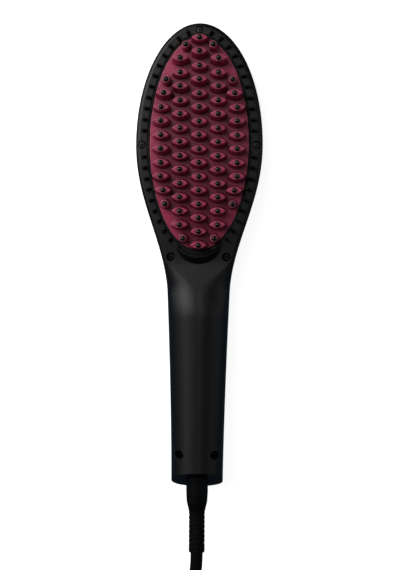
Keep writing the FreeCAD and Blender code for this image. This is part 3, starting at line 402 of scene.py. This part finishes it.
def turnedScrew(radius, length, sizes):
    # a rounded head, a shank and a blunt point, with the head's top at the origin
    bpy.ops.object.select_all(action="DESELECT")
    bpy.ops.mesh.primitive_cylinder_add(
        vertices=sizes["sides"],
        radius=radius,
        depth=sizes["headHeight"] * mm,
        location=(0, 0, -sizes["headHeight"] / 2 * mm),
    )
    screw = bpy.context.object
    bpy.ops.object.transform_apply(location=True, rotation=True, scale=True)
    selectFaces(screw.data, lambda face: face.normal.z > facing)
    bpy.ops.mesh.bevel(offset=sizes["headRound"] * mm, segments=sizes["roundSteps"], affect="EDGES")
    selectFaces(screw.data, lambda face: face.normal.z < -facing)
    bpy.ops.mesh.inset(thickness=radius - sizes["shankRadius"] * mm)
    shank = length - (sizes["headHeight"] + sizes["tip"]) * mm
    for drop in (shank, sizes["tip"] * mm):
        bpy.ops.mesh.extrude_region_move(TRANSFORM_OT_translate={"value": (0, 0, -drop)})
    bpy.ops.transform.resize(value=(sizes["tipShare"], sizes["tipShare"], 1))
    faceOutward()
    return screw


def cutCross(screw, sizes):
    # a cross that narrows towards its floor
    depth = sizes["crossDepth"]
    ways = [sideways, lengthways]
    cutter = armedBlock("crossCutter", sizes["crossWidth"], sizes["crossArm"], 2 * depth, ways)
    cutter.data.transform(Matrix.Translation((0, 0, -depth * mm)))
    selectFaces(cutter.data, lambda face: face.normal.z < -facing)
    bpy.ops.transform.resize(value=(sizes["crossShare"], sizes["crossShare"], 1))
    bpy.ops.object.mode_set(mode="OBJECT")
    cross = screw.modifiers.new("cross", "BOOLEAN")
    cross.operation = "DIFFERENCE"
    cross.object = cutter
    applyModifier(screw, cross)
    bpy.data.objects.remove(cutter)


def makeScrews(name, node, sizes):
    # modelled once, from the size of the node's first screw
    boxes = looseBoxes(node)
    low, high = boxes[0]
    screw = turnedScrew((high.x - low.x) / 2, high.z - low.z, sizes)
    cutCross(screw, sizes)
    tops = [middleAt(low, high, high.z) for low, high in boxes]
    return spreadCopies(screw, tops, name)


screws = {}
for name, node in screwSets.items():
    screws[name] = makeScrews(name, node, screwSettings)
    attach(screws[name], "housing")
    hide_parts(node)
print("screws made")


# raised plain signs on the three buttons
signSettings = {
    "armLength": 1.25,
    "armWidth": 0.62,
    "height": 0.3,
    "sink": 0.22,
    "ringRadius": 1.45,
    "ringThickness": 0.3,
    "ringSegments": 36,
    "ringSides": 8,
    "ringGap": 0.75,
    "barRise": 0.45,  # of an arm's length
    "softEdge": 0.07,
    "softSteps": 2,
}
buttonAxes = {joint["child"]: Vector(joint["axis"]) for joint in frame["record"]["behaviour"]["joints"]}


def capFrame(node, sizes):
    # place and turn of a sign sunk in a button's outer face: x as on the handle, z out of the cap
    outward = -buttonAxes[node].normalized()
    across = Vector(sideways)
    along = outward.cross(across)
    spots = [vertex.co for vertex in nodes[node].data.vertices]
    middle = outward * (max(spot.dot(outward) for spot in spots) - sizes["sink"] * mm)
    for way in (across, along):
        reach = [spot.dot(way) for spot in spots]
        middle += way * (min(reach) + max(reach)) / 2
    turn = Matrix((across, along, outward)).transposed().to_4x4()
    return Matrix.Translation(middle) @ turn


def barSign(name, sizes, ways):
    bar = armedBlock(name, sizes["armWidth"], sizes["armLength"], sizes["height"], ways)
    softenEdges(bar, sizes["softEdge"], sizes["softSteps"])
    return bar


def powerSign(sizes):
    # an open ring and an upright bar in its gap
    bpy.ops.object.select_all(action="DESELECT")
    bpy.ops.mesh.primitive_torus_add(
        major_radius=sizes["ringRadius"] * mm,
        minor_radius=sizes["ringThickness"] * mm,
        major_segments=sizes["ringSegments"],
        minor_segments=sizes["ringSides"],
        location=(0, 0, sizes["height"] / 2 * mm),
    )
    ring = bpy.context.object
    bpy.ops.object.transform_apply(location=True, rotation=True, scale=True)
    selectFaces(ring.data, lambda face: face.center.y > 0 and abs(face.center.x) < sizes["ringGap"] * mm)
    bpy.ops.mesh.delete(type="FACE")
    bpy.ops.mesh.select_all(action="SELECT")
    bpy.ops.mesh.fill_holes(sides=0)
    faceOutward()
    bar = barSign("powerBar", sizes, [lengthways])
    bar.data.transform(Matrix.Translation((0, sizes["armLength"] * sizes["barRise"] * mm, 0)))
    return joinPieces([ring, bar], "powerSign")


signs = {
    "power_button": powerSign(signSettings),
    "plus_button": barSign("plusSign", signSettings, [sideways, lengthways]),
    "minus_button": barSign("minusSign", signSettings, [sideways]),
}
for node, sign in signs.items():
    sign.data.transform(capFrame(node, signSettings))
    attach(sign, node)
print("button signs made")


# plain finishes: two close colours in a fine grain, with roughness and a slight relief from the same grain
# the real grains are finer, and are drawn this coarse so that they show
plainSettings = {
    "grainDetail": 3.0,
    "grainShare": 0.5,  # of the grain in the tone, added to the cloud
    "cloudSize": 24.0,
    "cloudDetail": 2.0,
    "toneRange": (0.45, 1.05),
    "creviceReach": 2.5,  # narrow gaps and holes are left dull from the tool
    "creviceRange": (0.35, 0.85),
    "creviceRough": 0.95,
    "edge": 0.15,  # radius that edges seem to have, where a finish gives none
    "reliefStrength": 0.6,
}
edgeSamples = 8  # rays that feel for an edge to round
openSamples = 6  # rays that feel how open a place is
finishes = {
    # ABS, moulded in a spark-eroded tool: satin, so light lies on it as a broad soft band
    "satinBlackAbs": {
        "colours": ("070708", "0c0c0d"), "grain": 0.5, "rough": (0.36, 0.43), "relief": 0.010, "gloss": 0.31,
        "edge": 0.45,
    },
    # nylon beads, tumbled: nearly black with a small soft glint
    "beadNylon": {
        "colours": ("030303", "070707"), "grain": 0.4, "rough": (0.24, 0.30), "relief": 0.004, "gloss": 0.5,
    },
    # nylon of the rim's teeth, matt from the tool: blacker than the ring they stand on, partly the nylon's
    # own black and partly painted shade for the shadows the teeth cast
    "toothNylon": {
        "colours": ("020202", "050505"), "grain": 0.4, "rough": (0.42, 0.52), "relief": 0.006, "gloss": 0.12,
    },
    # PBT with glass, moulded: dull black that swallows light at the plate's edge
    "glassFilledPbt": {
        "colours": ("060606", "0b0b0b"), "grain": 0.4, "rough": (0.55, 0.68), "relief": 0.012, "gloss": 0.25,
    },
    # soft PVC, extruded and moulded: dull black with a faint skin
    "softPvc": {
        "colours": ("060607", "0b0b0c"), "grain": 0.8, "rough": (0.42, 0.52), "relief": 0.015, "gloss": 0.18,
    },
    # ABS of the buttons, moulded: a little greyer than the housing
    "buttonAbs": {
        "colours": ("0d0e0f", "131415"), "grain": 0.5, "rough": (0.34, 0.42), "relief": 0.006, "gloss": 0.3,
    },
    # ABS of the signs, a second shot: pale grey
    "paleGreyAbs": {
        "colours": ("b9bcc0", "c6c8cb"), "grain": 0.5, "rough": (0.42, 0.50), "relief": 0.004, "gloss": 0.5,
    },
    # alumina, fired: chalky white with a faint cast
    "firedAlumina": {
        "colours": ("d9d5cc", "e4e0d8"), "grain": 1.2, "rough": (0.60, 0.75), "relief": 0.015, "gloss": 0.6,
    },
    # epoxy over the sensor, dipped: glossy amber
    "dippedEpoxy": {
        "colours": ("8f6a2c", "a57c36"), "grain": 2.5, "rough": (0.15, 0.25), "relief": 0.020, "gloss": 0.5,
    },
    # epoxy of the board's devices, moulded: dull charcoal
    "mouldedEpoxy": {
        "colours": ("17181a", "202124"), "grain": 0.6, "rough": (0.50, 0.62), "relief": 0.008, "gloss": 0.4,
    },
    # polypropylene box of the capacitor, moulded: waxy orange
    "boxedPolypropylene": {
        "colours": ("a5441c", "b34f24"), "grain": 1.5, "rough": (0.32, 0.42), "relief": 0.006, "gloss": 0.5,
    },
    # silicone sleeve of the wires, extruded: brick red and rubbery
    "siliconeSleeve": {
        "colours": ("8c1f1b", "9c2a24"), "grain": 0.7, "rough": (0.55, 0.66), "relief": 0.010, "gloss": 0.4,
    },
}
# the housing's ABS on the front shell, where the planes of the neck run softly into each other
# each end of the neck has the places along y where the softness begins and where it is full
finishes["blendedBlackAbs"] = dict(
    finishes["satinBlackAbs"],
    neck={"radius": 2.0, "upper": (-2.5, -6), "lower": (-55, -45)},
)

madeMaterials = {}
for name, look in finishes.items():
    material, tree = newMaterial(name)
    firstColour, lastColour = [toLinear(colour) for colour in look["colours"]]
    edgeRadius = look.get("edge", plainSettings["edge"]) * mm
    place = addNode(tree, "ShaderNodeTexCoord")
    grain = addNode(
        tree, "ShaderNodeTexNoise",
        {"Scale": 1 / (look["grain"] * mm), "Detail": plainSettings["grainDetail"]},
        {"Vector": place.outputs["Object"]},
    )
    cloud = addNode(
        tree, "ShaderNodeTexNoise",
        {"Scale": 1 / (plainSettings["cloudSize"] * mm), "Detail": plainSettings["cloudDetail"]},
        {"Vector": place.outputs["Object"]},
    )
    tone = addNode(
        tree, "ShaderNodeMath",
        {"operation": "MULTIPLY_ADD", 1: plainSettings["grainShare"]},
        {0: grain.outputs["Fac"], 2: cloud.outputs["Fac"]},
    )
    share = addNode(
        tree, "ShaderNodeMapRange",
        {"From Min": plainSettings["toneRange"][0], "From Max": plainSettings["toneRange"][1]},
        {"Value": tone.outputs[0]},
    )
    colour = addNode(
        tree, "ShaderNodeMix",
        {"data_type": "RGBA", 6: firstColour, 7: lastColour},
        {0: share.outputs["Result"]},
    )
    polish = addNode(
        tree, "ShaderNodeMapRange",
        {"To Min": look["rough"][0], "To Max": look["rough"][1]},
        {"Value": grain.outputs["Fac"]},
    )
    crevice = addNode(
        tree, "ShaderNodeAmbientOcclusion",
        {"samples": openSamples, "Distance": plainSettings["creviceReach"] * mm},
    )
    rough = addNode(
        tree, "ShaderNodeMapRange",
        {
            "From Min": plainSettings["creviceRange"][0],
            "From Max": plainSettings["creviceRange"][1],
            "To Min": plainSettings["creviceRough"],
        },
        {"Value": crevice.outputs["AO"], "To Max": polish.outputs["Result"]},
    )
    edge = addNode(tree, "ShaderNodeBevel", {"samples": edgeSamples, "Radius": edgeRadius})
    if "neck" in look:
        neckRadius = look["neck"]["radius"] * mm
        along = addNode(tree, "ShaderNodeSeparateXYZ", None, {"Vector": place.outputs["Object"]})
        ends = []
        for begins, full in (look["neck"]["upper"], look["neck"]["lower"]):
            end = addNode(
                tree, "ShaderNodeMapRange",
                {"From Min": begins * mm, "From Max": full * mm, "To Min": edgeRadius, "To Max": neckRadius},
                {"Value": along.outputs["Y"]},
            )
            ends.append(end.outputs["Result"])
        least = addNode(tree, "ShaderNodeMath", {"operation": "MINIMUM"}, {0: ends[0], 1: ends[1]})
        tree.links.new(least.outputs[0], edge.inputs["Radius"])
    relief = addNode(
        tree, "ShaderNodeBump",
        {"Strength": plainSettings["reliefStrength"], "Distance": look["relief"] * mm},
        {"Height": grain.outputs["Fac"], "Normal": edge.outputs["Normal"]},
    )
    shader = addNode(
        tree, "ShaderNodeBsdfPrincipled",
        {"Specular IOR Level": look["gloss"]},
        {
            "Base Color": colour.outputs[2],
            "Roughness": rough.outputs["Result"],
            "Normal": relief.outputs["Normal"],
        },
    )
    addNode(tree, "ShaderNodeOutputMaterial", None, {"Surface": shader.outputs["BSDF"]})
    madeMaterials[name] = material


# metals: fine lines along one axis from rolling or drawing, over a plain metal colour
# the lines have their size along x, y and z, and are drawn coarser than real ones so that they show
metalSettings = {
    "lineDetail": 4.0,
    "relief": 0.006,
    "reliefStrength": 0.4,
}
metals = {
    # steel screws, black oxide: dark with a dull oily shine, and an even grain with no lines
    "blackOxideSteel": {
        "colours": ("2a2a2c", "363638"), "lines": (0.25, 0.25, 0.25), "rough": (0.30, 0.44), "metallic": 0.9,
    },
    # brass pins, turned and nickel-plated: bright and slightly warm, with lines round the pin
    "nickelledBrass": {
        "colours": ("c9c6bd", "d6d3ca"), "lines": (0.3, 0.12, 0.3), "rough": (0.14, 0.24), "metallic": 1.0,
    },
    # aluminium bar, as rolled: pale with long faint lines
    "rolledAluminium": {
        "colours": ("b9babb", "c8c9ca"), "lines": (0.3, 9.0, 0.3), "rough": (0.32, 0.46), "metallic": 1.0,
    },
    # case of the fuse, drawn and tinned: bright
    "tinnedCase": {
        "colours": ("c2c3c4", "d0d1d2"), "lines": (0.2, 6.0, 0.2), "rough": (0.20, 0.32), "metallic": 1.0,
    },
    # steel sheet, rolled and galvanised: grey with a soft streak
    "galvanisedSheet": {
        "colours": ("8d9092", "a3a6a8"), "lines": (3.0, 18.0, 3.0), "rough": (0.36, 0.52), "metallic": 1.0,
    },
}
for name, look in metals.items():
    material, tree = newMaterial(name)
    firstColour, lastColour = [toLinear(colour) for colour in look["colours"]]
    place = addNode(tree, "ShaderNodeTexCoord")
    stretch = addNode(
        tree, "ShaderNodeMapping",
        {"Scale": [1 / (size * mm) for size in look["lines"]]},
        {"Vector": place.outputs["Object"]},
    )
    lines = addNode(
        tree, "ShaderNodeTexNoise",
        {"Scale": 1.0, "Detail": metalSettings["lineDetail"]},
        {"Vector": stretch.outputs["Vector"]},
    )
    colour = addNode(
        tree, "ShaderNodeMix",
        {"data_type": "RGBA", 6: firstColour, 7: lastColour},
        {0: lines.outputs["Fac"]},
    )
    rough = addNode(
        tree, "ShaderNodeMapRange",
        {"To Min": look["rough"][0], "To Max": look["rough"][1]},
        {"Value": lines.outputs["Fac"]},
    )
    relief = addNode(
        tree, "ShaderNodeBump",
        {"Strength": metalSettings["reliefStrength"], "Distance": metalSettings["relief"] * mm},
        {"Height": lines.outputs["Fac"]},
    )
    shader = addNode(
        tree, "ShaderNodeBsdfPrincipled",
        {"Metallic": look["metallic"]},
        {
            "Base Color": colour.outputs[2],
            "Roughness": rough.outputs["Result"],
            "Normal": relief.outputs["Normal"],
        },
    )
    addNode(tree, "ShaderNodeOutputMaterial", None, {"Surface": shader.outputs["BSDF"]})
    madeMaterials[name] = material
print("plain finishes made")


# ceramic coat sprayed on cast aluminium: satin maroon that greys under light, with a fine pearl fleck
# lighter on proud edges as a painted highlight, and darker in the nooks between the fins as painted shade
coatSettings = {
    "deep": "931843",
    "bright": "bd3a60",
    "cloudSize": 14.0,
    "cloudDetail": 3.0,
    "peelSize": 0.7,
    "peelDetail": 2.0,
    "rough": (0.22, 0.34),
    "gloss": 0.28,
    "relief": 0.02,
    "reliefStrength": 0.5,
    "fleck": "c67f92",
    "fleckSize": 0.35,  # coarser than the real fleck, so that it shows
    "fleckFrom": 0.64,
    "fleckShare": 0.35,
    "edge": 0.6,
    # the lighter colour is a painted highlight on the fins' proud edges
    "paintedHighlight": "eda6b9",
    "highlightShare": 0.75,
    "highlightTurn": (0.99, 0.85),  # cosine of the angle by which the edge's rounding turns the normal
    "highlightOpen": (0.6, 0.9),
    # the darker colour is painted shade in the nooks between the fins
    "nookShade": "33060f",
    "nookShadeShare": 0.75,
    "nookReach": 4.0,
    "nookShadeOpen": (0.85, 0.3),
}
coat, tree = newMaterial("sprayedCeramicCoat")
place = addNode(tree, "ShaderNodeTexCoord")
cloud = addNode(
    tree, "ShaderNodeTexNoise",
    {"Scale": 1 / (coatSettings["cloudSize"] * mm), "Detail": coatSettings["cloudDetail"]},
    {"Vector": place.outputs["Object"]},
)
peel = addNode(
    tree, "ShaderNodeTexNoise",
    {"Scale": 1 / (coatSettings["peelSize"] * mm), "Detail": coatSettings["peelDetail"]},
    {"Vector": place.outputs["Object"]},
)
fleck = addNode(
    tree, "ShaderNodeTexVoronoi",
    {"Scale": 1 / (coatSettings["fleckSize"] * mm)},
    {"Vector": place.outputs["Object"]},
)
body = addNode(
    tree, "ShaderNodeMix",
    {"data_type": "RGBA", 6: toLinear(coatSettings["deep"]), 7: toLinear(coatSettings["bright"])},
    {0: cloud.outputs["Fac"]},
)
pick = addNode(tree, "ShaderNodeSeparateColor", None, {"Color": fleck.outputs["Color"]})
chosen = addNode(
    tree, "ShaderNodeMapRange",
    {"From Min": coatSettings["fleckFrom"], "From Max": 1.0, "To Max": coatSettings["fleckShare"]},
    {"Value": pick.outputs[0]},
)
flecked = addNode(
    tree, "ShaderNodeMix",
    {"data_type": "RGBA", 7: toLinear(coatSettings["fleck"])},
    {0: chosen.outputs["Result"], 6: body.outputs[2]},
)
edge = addNode(tree, "ShaderNodeBevel", {"samples": edgeSamples, "Radius": coatSettings["edge"] * mm})
surface = addNode(tree, "ShaderNodeNewGeometry")
turn = addNode(
    tree, "ShaderNodeVectorMath",
    {"operation": "DOT_PRODUCT"},
    {0: edge.outputs["Normal"], 1: surface.outputs["Normal"]},
)
rim = addNode(
    tree, "ShaderNodeMapRange",
    {
        "From Min": coatSettings["highlightTurn"][0],
        "From Max": coatSettings["highlightTurn"][1],
        "To Max": coatSettings["highlightShare"],
    },
    {"Value": turn.outputs["Value"]},
)
nookShade = addNode(
    tree, "ShaderNodeAmbientOcclusion",
    {"samples": openSamples, "Distance": coatSettings["nookReach"] * mm},
)
proud = addNode(
    tree, "ShaderNodeMapRange",
    {"From Min": coatSettings["highlightOpen"][0], "From Max": coatSettings["highlightOpen"][1]},
    {"Value": nookShade.outputs["AO"]},
)
# painted highlight: where the rounded edge turns the normal and the place is open, the coat takes the
# lighter colour
paintedHighlight = addNode(
    tree, "ShaderNodeMath",
    {"operation": "MULTIPLY"},
    {0: rim.outputs["Result"], 1: proud.outputs["Result"]},
)
highlighted = addNode(
    tree, "ShaderNodeMix",
    {"data_type": "RGBA", 7: toLinear(coatSettings["paintedHighlight"])},
    {0: paintedHighlight.outputs[0], 6: flecked.outputs[2]},
)
# painted shade: where the nooks close in round a place, the coat takes the darker colour
nookShaded = addNode(
    tree, "ShaderNodeMapRange",
    {
        "From Min": coatSettings["nookShadeOpen"][0],
        "From Max": coatSettings["nookShadeOpen"][1],
        "To Max": coatSettings["nookShadeShare"],
    },
    {"Value": nookShade.outputs["AO"]},
)
colour = addNode(
    tree, "ShaderNodeMix",
    {"data_type": "RGBA", 7: toLinear(coatSettings["nookShade"])},
    {0: nookShaded.outputs["Result"], 6: highlighted.outputs[2]},
)
rough = addNode(
    tree, "ShaderNodeMapRange",
    {"To Min": coatSettings["rough"][0], "To Max": coatSettings["rough"][1]},
    {"Value": peel.outputs["Fac"]},
)
relief = addNode(
    tree, "ShaderNodeBump",
    {"Strength": coatSettings["reliefStrength"], "Distance": coatSettings["relief"] * mm},
    {"Height": peel.outputs["Fac"], "Normal": edge.outputs["Normal"]},
)
shader = addNode(
    tree, "ShaderNodeBsdfPrincipled",
    {"Specular IOR Level": coatSettings["gloss"]},
    {
        "Base Color": colour.outputs[2],
        "Roughness": rough.outputs["Result"],
        "Normal": relief.outputs["Normal"],
    },
)
addNode(tree, "ShaderNodeOutputMaterial", None, {"Surface": shader.outputs["BSDF"]})
madeMaterials["sprayedCeramicCoat"] = coat


# smooth skins: no relief, only faint marks in colour and roughness
skins = {
    # the coat's colour round each bead, brighter than the rest as a painted highlight
    "coatRimHighlight": {
        "colours": ("8f3a56", "a8526d"), "mark": 0.6, "detail": 2.0, "rough": (0.22, 0.32),
        "shader": {"IOR": 1.6},
    },
    # acrylic window, cast and smoked: a deep black gloss with faint handling marks
    "smokedAcrylic": {
        "colours": ("06070a", "0b0d12"), "mark": 5.0, "detail": 4.0, "rough": (0.05, 0.14),
        "shader": {"IOR": 1.49, "Coat Weight": 0.4, "Coat Roughness": 0.03},
    },
}
for name, look in skins.items():
    material, tree = newMaterial(name)
    firstColour, lastColour = [toLinear(colour) for colour in look["colours"]]
    place = addNode(tree, "ShaderNodeTexCoord")
    marks = addNode(
        tree, "ShaderNodeTexNoise",
        {"Scale": 1 / (look["mark"] * mm), "Detail": look["detail"]},
        {"Vector": place.outputs["Object"]},
    )
    colour = addNode(
        tree, "ShaderNodeMix",
        {"data_type": "RGBA", 6: firstColour, 7: lastColour},
        {0: marks.outputs["Fac"]},
    )
    rough = addNode(
        tree, "ShaderNodeMapRange",
        {"To Min": look["rough"][0], "To Max": look["rough"][1]},
        {"Value": marks.outputs["Fac"]},
    )
    shader = addNode(
        tree, "ShaderNodeBsdfPrincipled",
        look["shader"],
        {"Base Color": colour.outputs[2], "Roughness": rough.outputs["Result"]},
    )
    addNode(tree, "ShaderNodeOutputMaterial", None, {"Surface": shader.outputs["BSDF"]})
    madeMaterials[name] = material


# cloths: threads that cross along two axes, in colour and relief, drawn coarser than real ones to show
waveSpacing = 0.31  # a wave texture at scale one repeats after about this length
cloths = {
    # hook-and-loop tape, woven nylon with a brushed pile: matt, with a fine crossed weave
    "wovenNylonTape": {
        "colours": ("0d0d0e", "1d1d1f"), "thread": 0.9, "ways": ("Y", "Z"), "stray": 2.0,
        "relief": 0.12, "reliefStrength": 0.7, "shader": {"Roughness": 0.85, "Sheen Weight": 0.3},
    },
    # glass-cloth laminate under green solder resist: the cloth shows faintly through the gloss
    "solderResistLaminate": {
        "colours": ("0e3d22", "16512f"), "thread": 0.8, "ways": ("X", "Y"), "stray": 0.0,
        "relief": 0.01, "reliefStrength": 0.4, "shader": {"Roughness": 0.28, "IOR": 1.55},
    },
}
for name, look in cloths.items():
    material, tree = newMaterial(name)
    firstColour, lastColour = [toLinear(colour) for colour in look["colours"]]
    threadScale = waveSpacing / (look["thread"] * mm)
    place = addNode(tree, "ShaderNodeTexCoord")
    warp = addNode(
        tree, "ShaderNodeTexWave",
        {"bands_direction": look["ways"][0], "Scale": threadScale},
        {"Vector": place.outputs["Object"]},
    )
    weft = addNode(
        tree, "ShaderNodeTexWave",
        {"bands_direction": look["ways"][1], "Scale": threadScale, "Distortion": look["stray"]},
        {"Vector": place.outputs["Object"]},
    )
    weave = addNode(
        tree, "ShaderNodeMath",
        {"operation": "MULTIPLY"},
        {0: warp.outputs["Fac"], 1: weft.outputs["Fac"]},
    )
    colour = addNode(
        tree, "ShaderNodeMix",
        {"data_type": "RGBA", 6: firstColour, 7: lastColour},
        {0: weave.outputs[0]},
    )
    relief = addNode(
        tree, "ShaderNodeBump",
        {"Strength": look["reliefStrength"], "Distance": look["relief"] * mm},
        {"Height": weave.outputs[0]},
    )
    shader = addNode(
        tree, "ShaderNodeBsdfPrincipled",
        look["shader"],
        {"Base Color": colour.outputs[2], "Normal": relief.outputs["Normal"]},
    )
    addNode(tree, "ShaderNodeOutputMaterial", None, {"Surface": shader.outputs["BSDF"]})
    madeMaterials[name] = material


# phlogopite mica, split in sheets: silky amber with clouded flakes
micaSettings = {
    "colours": ("8a7350", "b59c70"),
    "flake": 6.0,
    "rough": (0.18, 0.40),
    "refraction": 1.58,
}
mica, tree = newMaterial("splitMica")
firstColour, lastColour = [toLinear(colour) for colour in micaSettings["colours"]]
place = addNode(tree, "ShaderNodeTexCoord")
flake = addNode(
    tree, "ShaderNodeTexVoronoi",
    {"Scale": 1 / (micaSettings["flake"] * mm)},
    {"Vector": place.outputs["Object"]},
)
pick = addNode(tree, "ShaderNodeSeparateColor", None, {"Color": flake.outputs["Color"]})
colour = addNode(
    tree, "ShaderNodeMix",
    {"data_type": "RGBA", 6: firstColour, 7: lastColour},
    {0: pick.outputs[0]},
)
rough = addNode(
    tree, "ShaderNodeMapRange",
    {"To Min": micaSettings["rough"][0], "To Max": micaSettings["rough"][1]},
    {"Value": pick.outputs[1]},
)
shader = addNode(
    tree, "ShaderNodeBsdfPrincipled",
    {"IOR": micaSettings["refraction"]},
    {"Base Color": colour.outputs[2], "Roughness": rough.outputs["Result"]},
)
addNode(tree, "ShaderNodeOutputMaterial", None, {"Surface": shader.outputs["BSDF"]})
madeMaterials["splitMica"] = mica
print("special finishes made")


# which finish each piece wears
wears = {
    "satinBlackAbs": ["back_shell"],
    "blendedBlackAbs": ["front_shell"],
    "sprayedCeramicCoat": ["heater_plate"],
    "beadNylon": ["fin_tips"],
    "toothNylon": ["rim_teeth"],
    "glassFilledPbt": ["plate_frame", "cord_clamp"],
    "blackOxideSteel": [*screwSets.values(), "clamp_screws", "board_screws", "cord_clamp_screws"],
    "softPvc": ["strain_relief", "inner_cord", "cord", "cord_coil", "cord_tail", "plug_body"],
    "wovenNylonTape": ["coil_tie"],
    "nickelledBrass": ["plug_pins"],
    "firedAlumina": ["ceramic_heaters"],
    "splitMica": ["mica_sheet"],
    "rolledAluminium": ["heater_clamp"],
    "dippedEpoxy": ["thermistor"],
    "tinnedCase": ["thermal_fuse"],
    "galvanisedSheet": ["heat_shield"],
    "solderResistLaminate": ["control_board"],
    "mouldedEpoxy": ["power_stage", "tact_switches", "display_module"],
    "boxedPolypropylene": ["mains_capacitor"],
    "smokedAcrylic": ["display_window"],
    "buttonAbs": ["power_button", "plus_button", "minus_button"],
    "siliconeSleeve": ["heater_leads", "sensor_leads", "mains_leads"],
}
dressed = [(nodes[node], finish) for finish, group in wears.items() for node in group]
# the bead seats wear a brighter coat colour that paints a highlight
dressed += [(lead, "softPvc"), (leadTie, "wovenNylonTape"), (beadSeats, "coatRimHighlight")]
dressed += [(sign, "paleGreyAbs") for sign in signs.values()]
dressed += [(screw, "blackOxideSteel") for screw in screws.values()]
for piece, finish in dressed:
    piece.data.materials.clear()
    piece.data.materials.append(madeMaterials[finish])
print("finishes on", len(dressed), "pieces")


# floor of matt white paper, with a glow of its own that keeps it white beside the dark object
floorSettings = {
    "side": 4.0,  # in metres
    "drop": 0.2,
    "colour": "f6f6f5",
    "glow": 0.95,
    "grain": 1.111,
    "grainDetail": 3.0,
    "relief": 0.2,
    "reliefStrength": 0.04,
    "rough": 0.9,
    "gloss": 0.1,
}
bpy.ops.object.select_all(action="DESELECT")
bpy.ops.mesh.primitive_plane_add(size=floorSettings["side"], location=(0, 0, -floorSettings["drop"] * mm))
floor = bpy.context.object
floor.name = "studioFloor"
# its glow neither lights the object nor shows in it
floor.visible_glossy = False
floor.visible_diffuse = False
paper, tree = newMaterial("mattWhitePaper")
place = addNode(tree, "ShaderNodeTexCoord")
grain = addNode(
    tree, "ShaderNodeTexNoise",
    {"Scale": 1 / (floorSettings["grain"] * mm), "Detail": floorSettings["grainDetail"]},
    {"Vector": place.outputs["Object"]},
)
relief = addNode(
    tree, "ShaderNodeBump",
    {"Strength": floorSettings["reliefStrength"], "Distance": floorSettings["relief"] * mm},
    {"Height": grain.outputs["Fac"]},
)
shader = addNode(
    tree, "ShaderNodeBsdfPrincipled",
    {
        "Base Color": toLinear(floorSettings["colour"]),
        "Roughness": floorSettings["rough"],
        "Specular IOR Level": floorSettings["gloss"],
        "Emission Color": toLinear(floorSettings["colour"]),
        "Emission Strength": floorSettings["glow"],
    },
    {"Normal": relief.outputs["Normal"]},
)
addNode(tree, "ShaderNodeOutputMaterial", None, {"Surface": shader.outputs["BSDF"]})
floor.data.materials.append(paper)


# room that lights the object, dim overhead and on the side that the handle's end faces, and a white backdrop
roomSettings = {
    "colour": "7f9ab3",
    "horizon": 0.28,
    "zenith": 0.05,
    "zenithFrom": 0.7,
    "endSide": 0.25,
    "endFrom": -0.8,
    "backdrop": "f3f4f4",
}
world = bpy.data.worlds.new("studioRoom")
world.use_nodes = True
bpy.context.scene.world = world
tree = world.node_tree
tree.nodes.clear()
way = addNode(tree, "ShaderNodeTexCoord")
parts = addNode(tree, "ShaderNodeSeparateXYZ", None, {"Vector": way.outputs["Generated"]})
fade = addNode(
    tree, "ShaderNodeMapRange",
    {
        "From Max": roomSettings["zenithFrom"],
        "To Min": roomSettings["horizon"],
        "To Max": roomSettings["zenith"],
    },
    {"Value": parts.outputs["Z"]},
)
dim = addNode(
    tree, "ShaderNodeMapRange",
    {"From Min": roomSettings["endFrom"], "From Max": 0.0, "To Min": roomSettings["endSide"]},
    {"Value": parts.outputs["Y"]},
)
strength = addNode(
    tree, "ShaderNodeMath",
    {"operation": "MULTIPLY"},
    {0: fade.outputs["Result"], 1: dim.outputs["Result"]},
)
room = addNode(
    tree, "ShaderNodeBackground",
    {"Color": toLinear(roomSettings["colour"])},
    {"Strength": strength.outputs[0]},
)
backdrop = addNode(tree, "ShaderNodeBackground", {"Color": toLinear(roomSettings["backdrop"])})
seen = addNode(tree, "ShaderNodeLightPath")
both = addNode(
    tree, "ShaderNodeMixShader",
    None,
    {0: seen.outputs["Is Camera Ray"], 1: room.outputs["Background"], 2: backdrop.outputs["Background"]},
)
addNode(tree, "ShaderNodeOutputWorld", None, {"Surface": both.outputs["Shader"]})


# soft studio lights, with their width and height in metres and their power in watts
lightAim = Vector((0, 0, 20)) * mm  # in the middle of the object
lights = {
    "keySoftbox": {"place": (-800, 260, 620), "size": (0.5, 1.3), "power": 3.4},
    "fillSoftbox": {"place": (780, 100, 500), "size": (0.5, 1.0), "power": 0.8},
    "nearSoftbox": {"place": (-330, 330, 500), "size": (0.35, 0.45), "power": 2.0},
    "leftTopSoftbox": {"place": (-230, 300, 1250), "size": (0.2, 0.3), "power": 0.8},
    "rightTopSoftbox": {"place": (150, 240, 1250), "size": (0.12, 0.4), "power": 0.22},
}
for name, light in lights.items():
    spot = Vector(light["place"]) * mm
    aim = (lightAim - spot).to_track_quat("-Z", "Y").to_euler()
    bpy.ops.object.light_add(type="AREA", location=spot, rotation=aim)
    lamp = bpy.context.object
    lamp.name = name
    lamp.data.shape = "RECTANGLE"
    lamp.data.size, lamp.data.size_y = light["size"]
    lamp.data.energy = light["power"]
bpy.context.scene.view_settings.view_transform = "Standard"
print("stage lit")

bpy.context.view_layer.update()
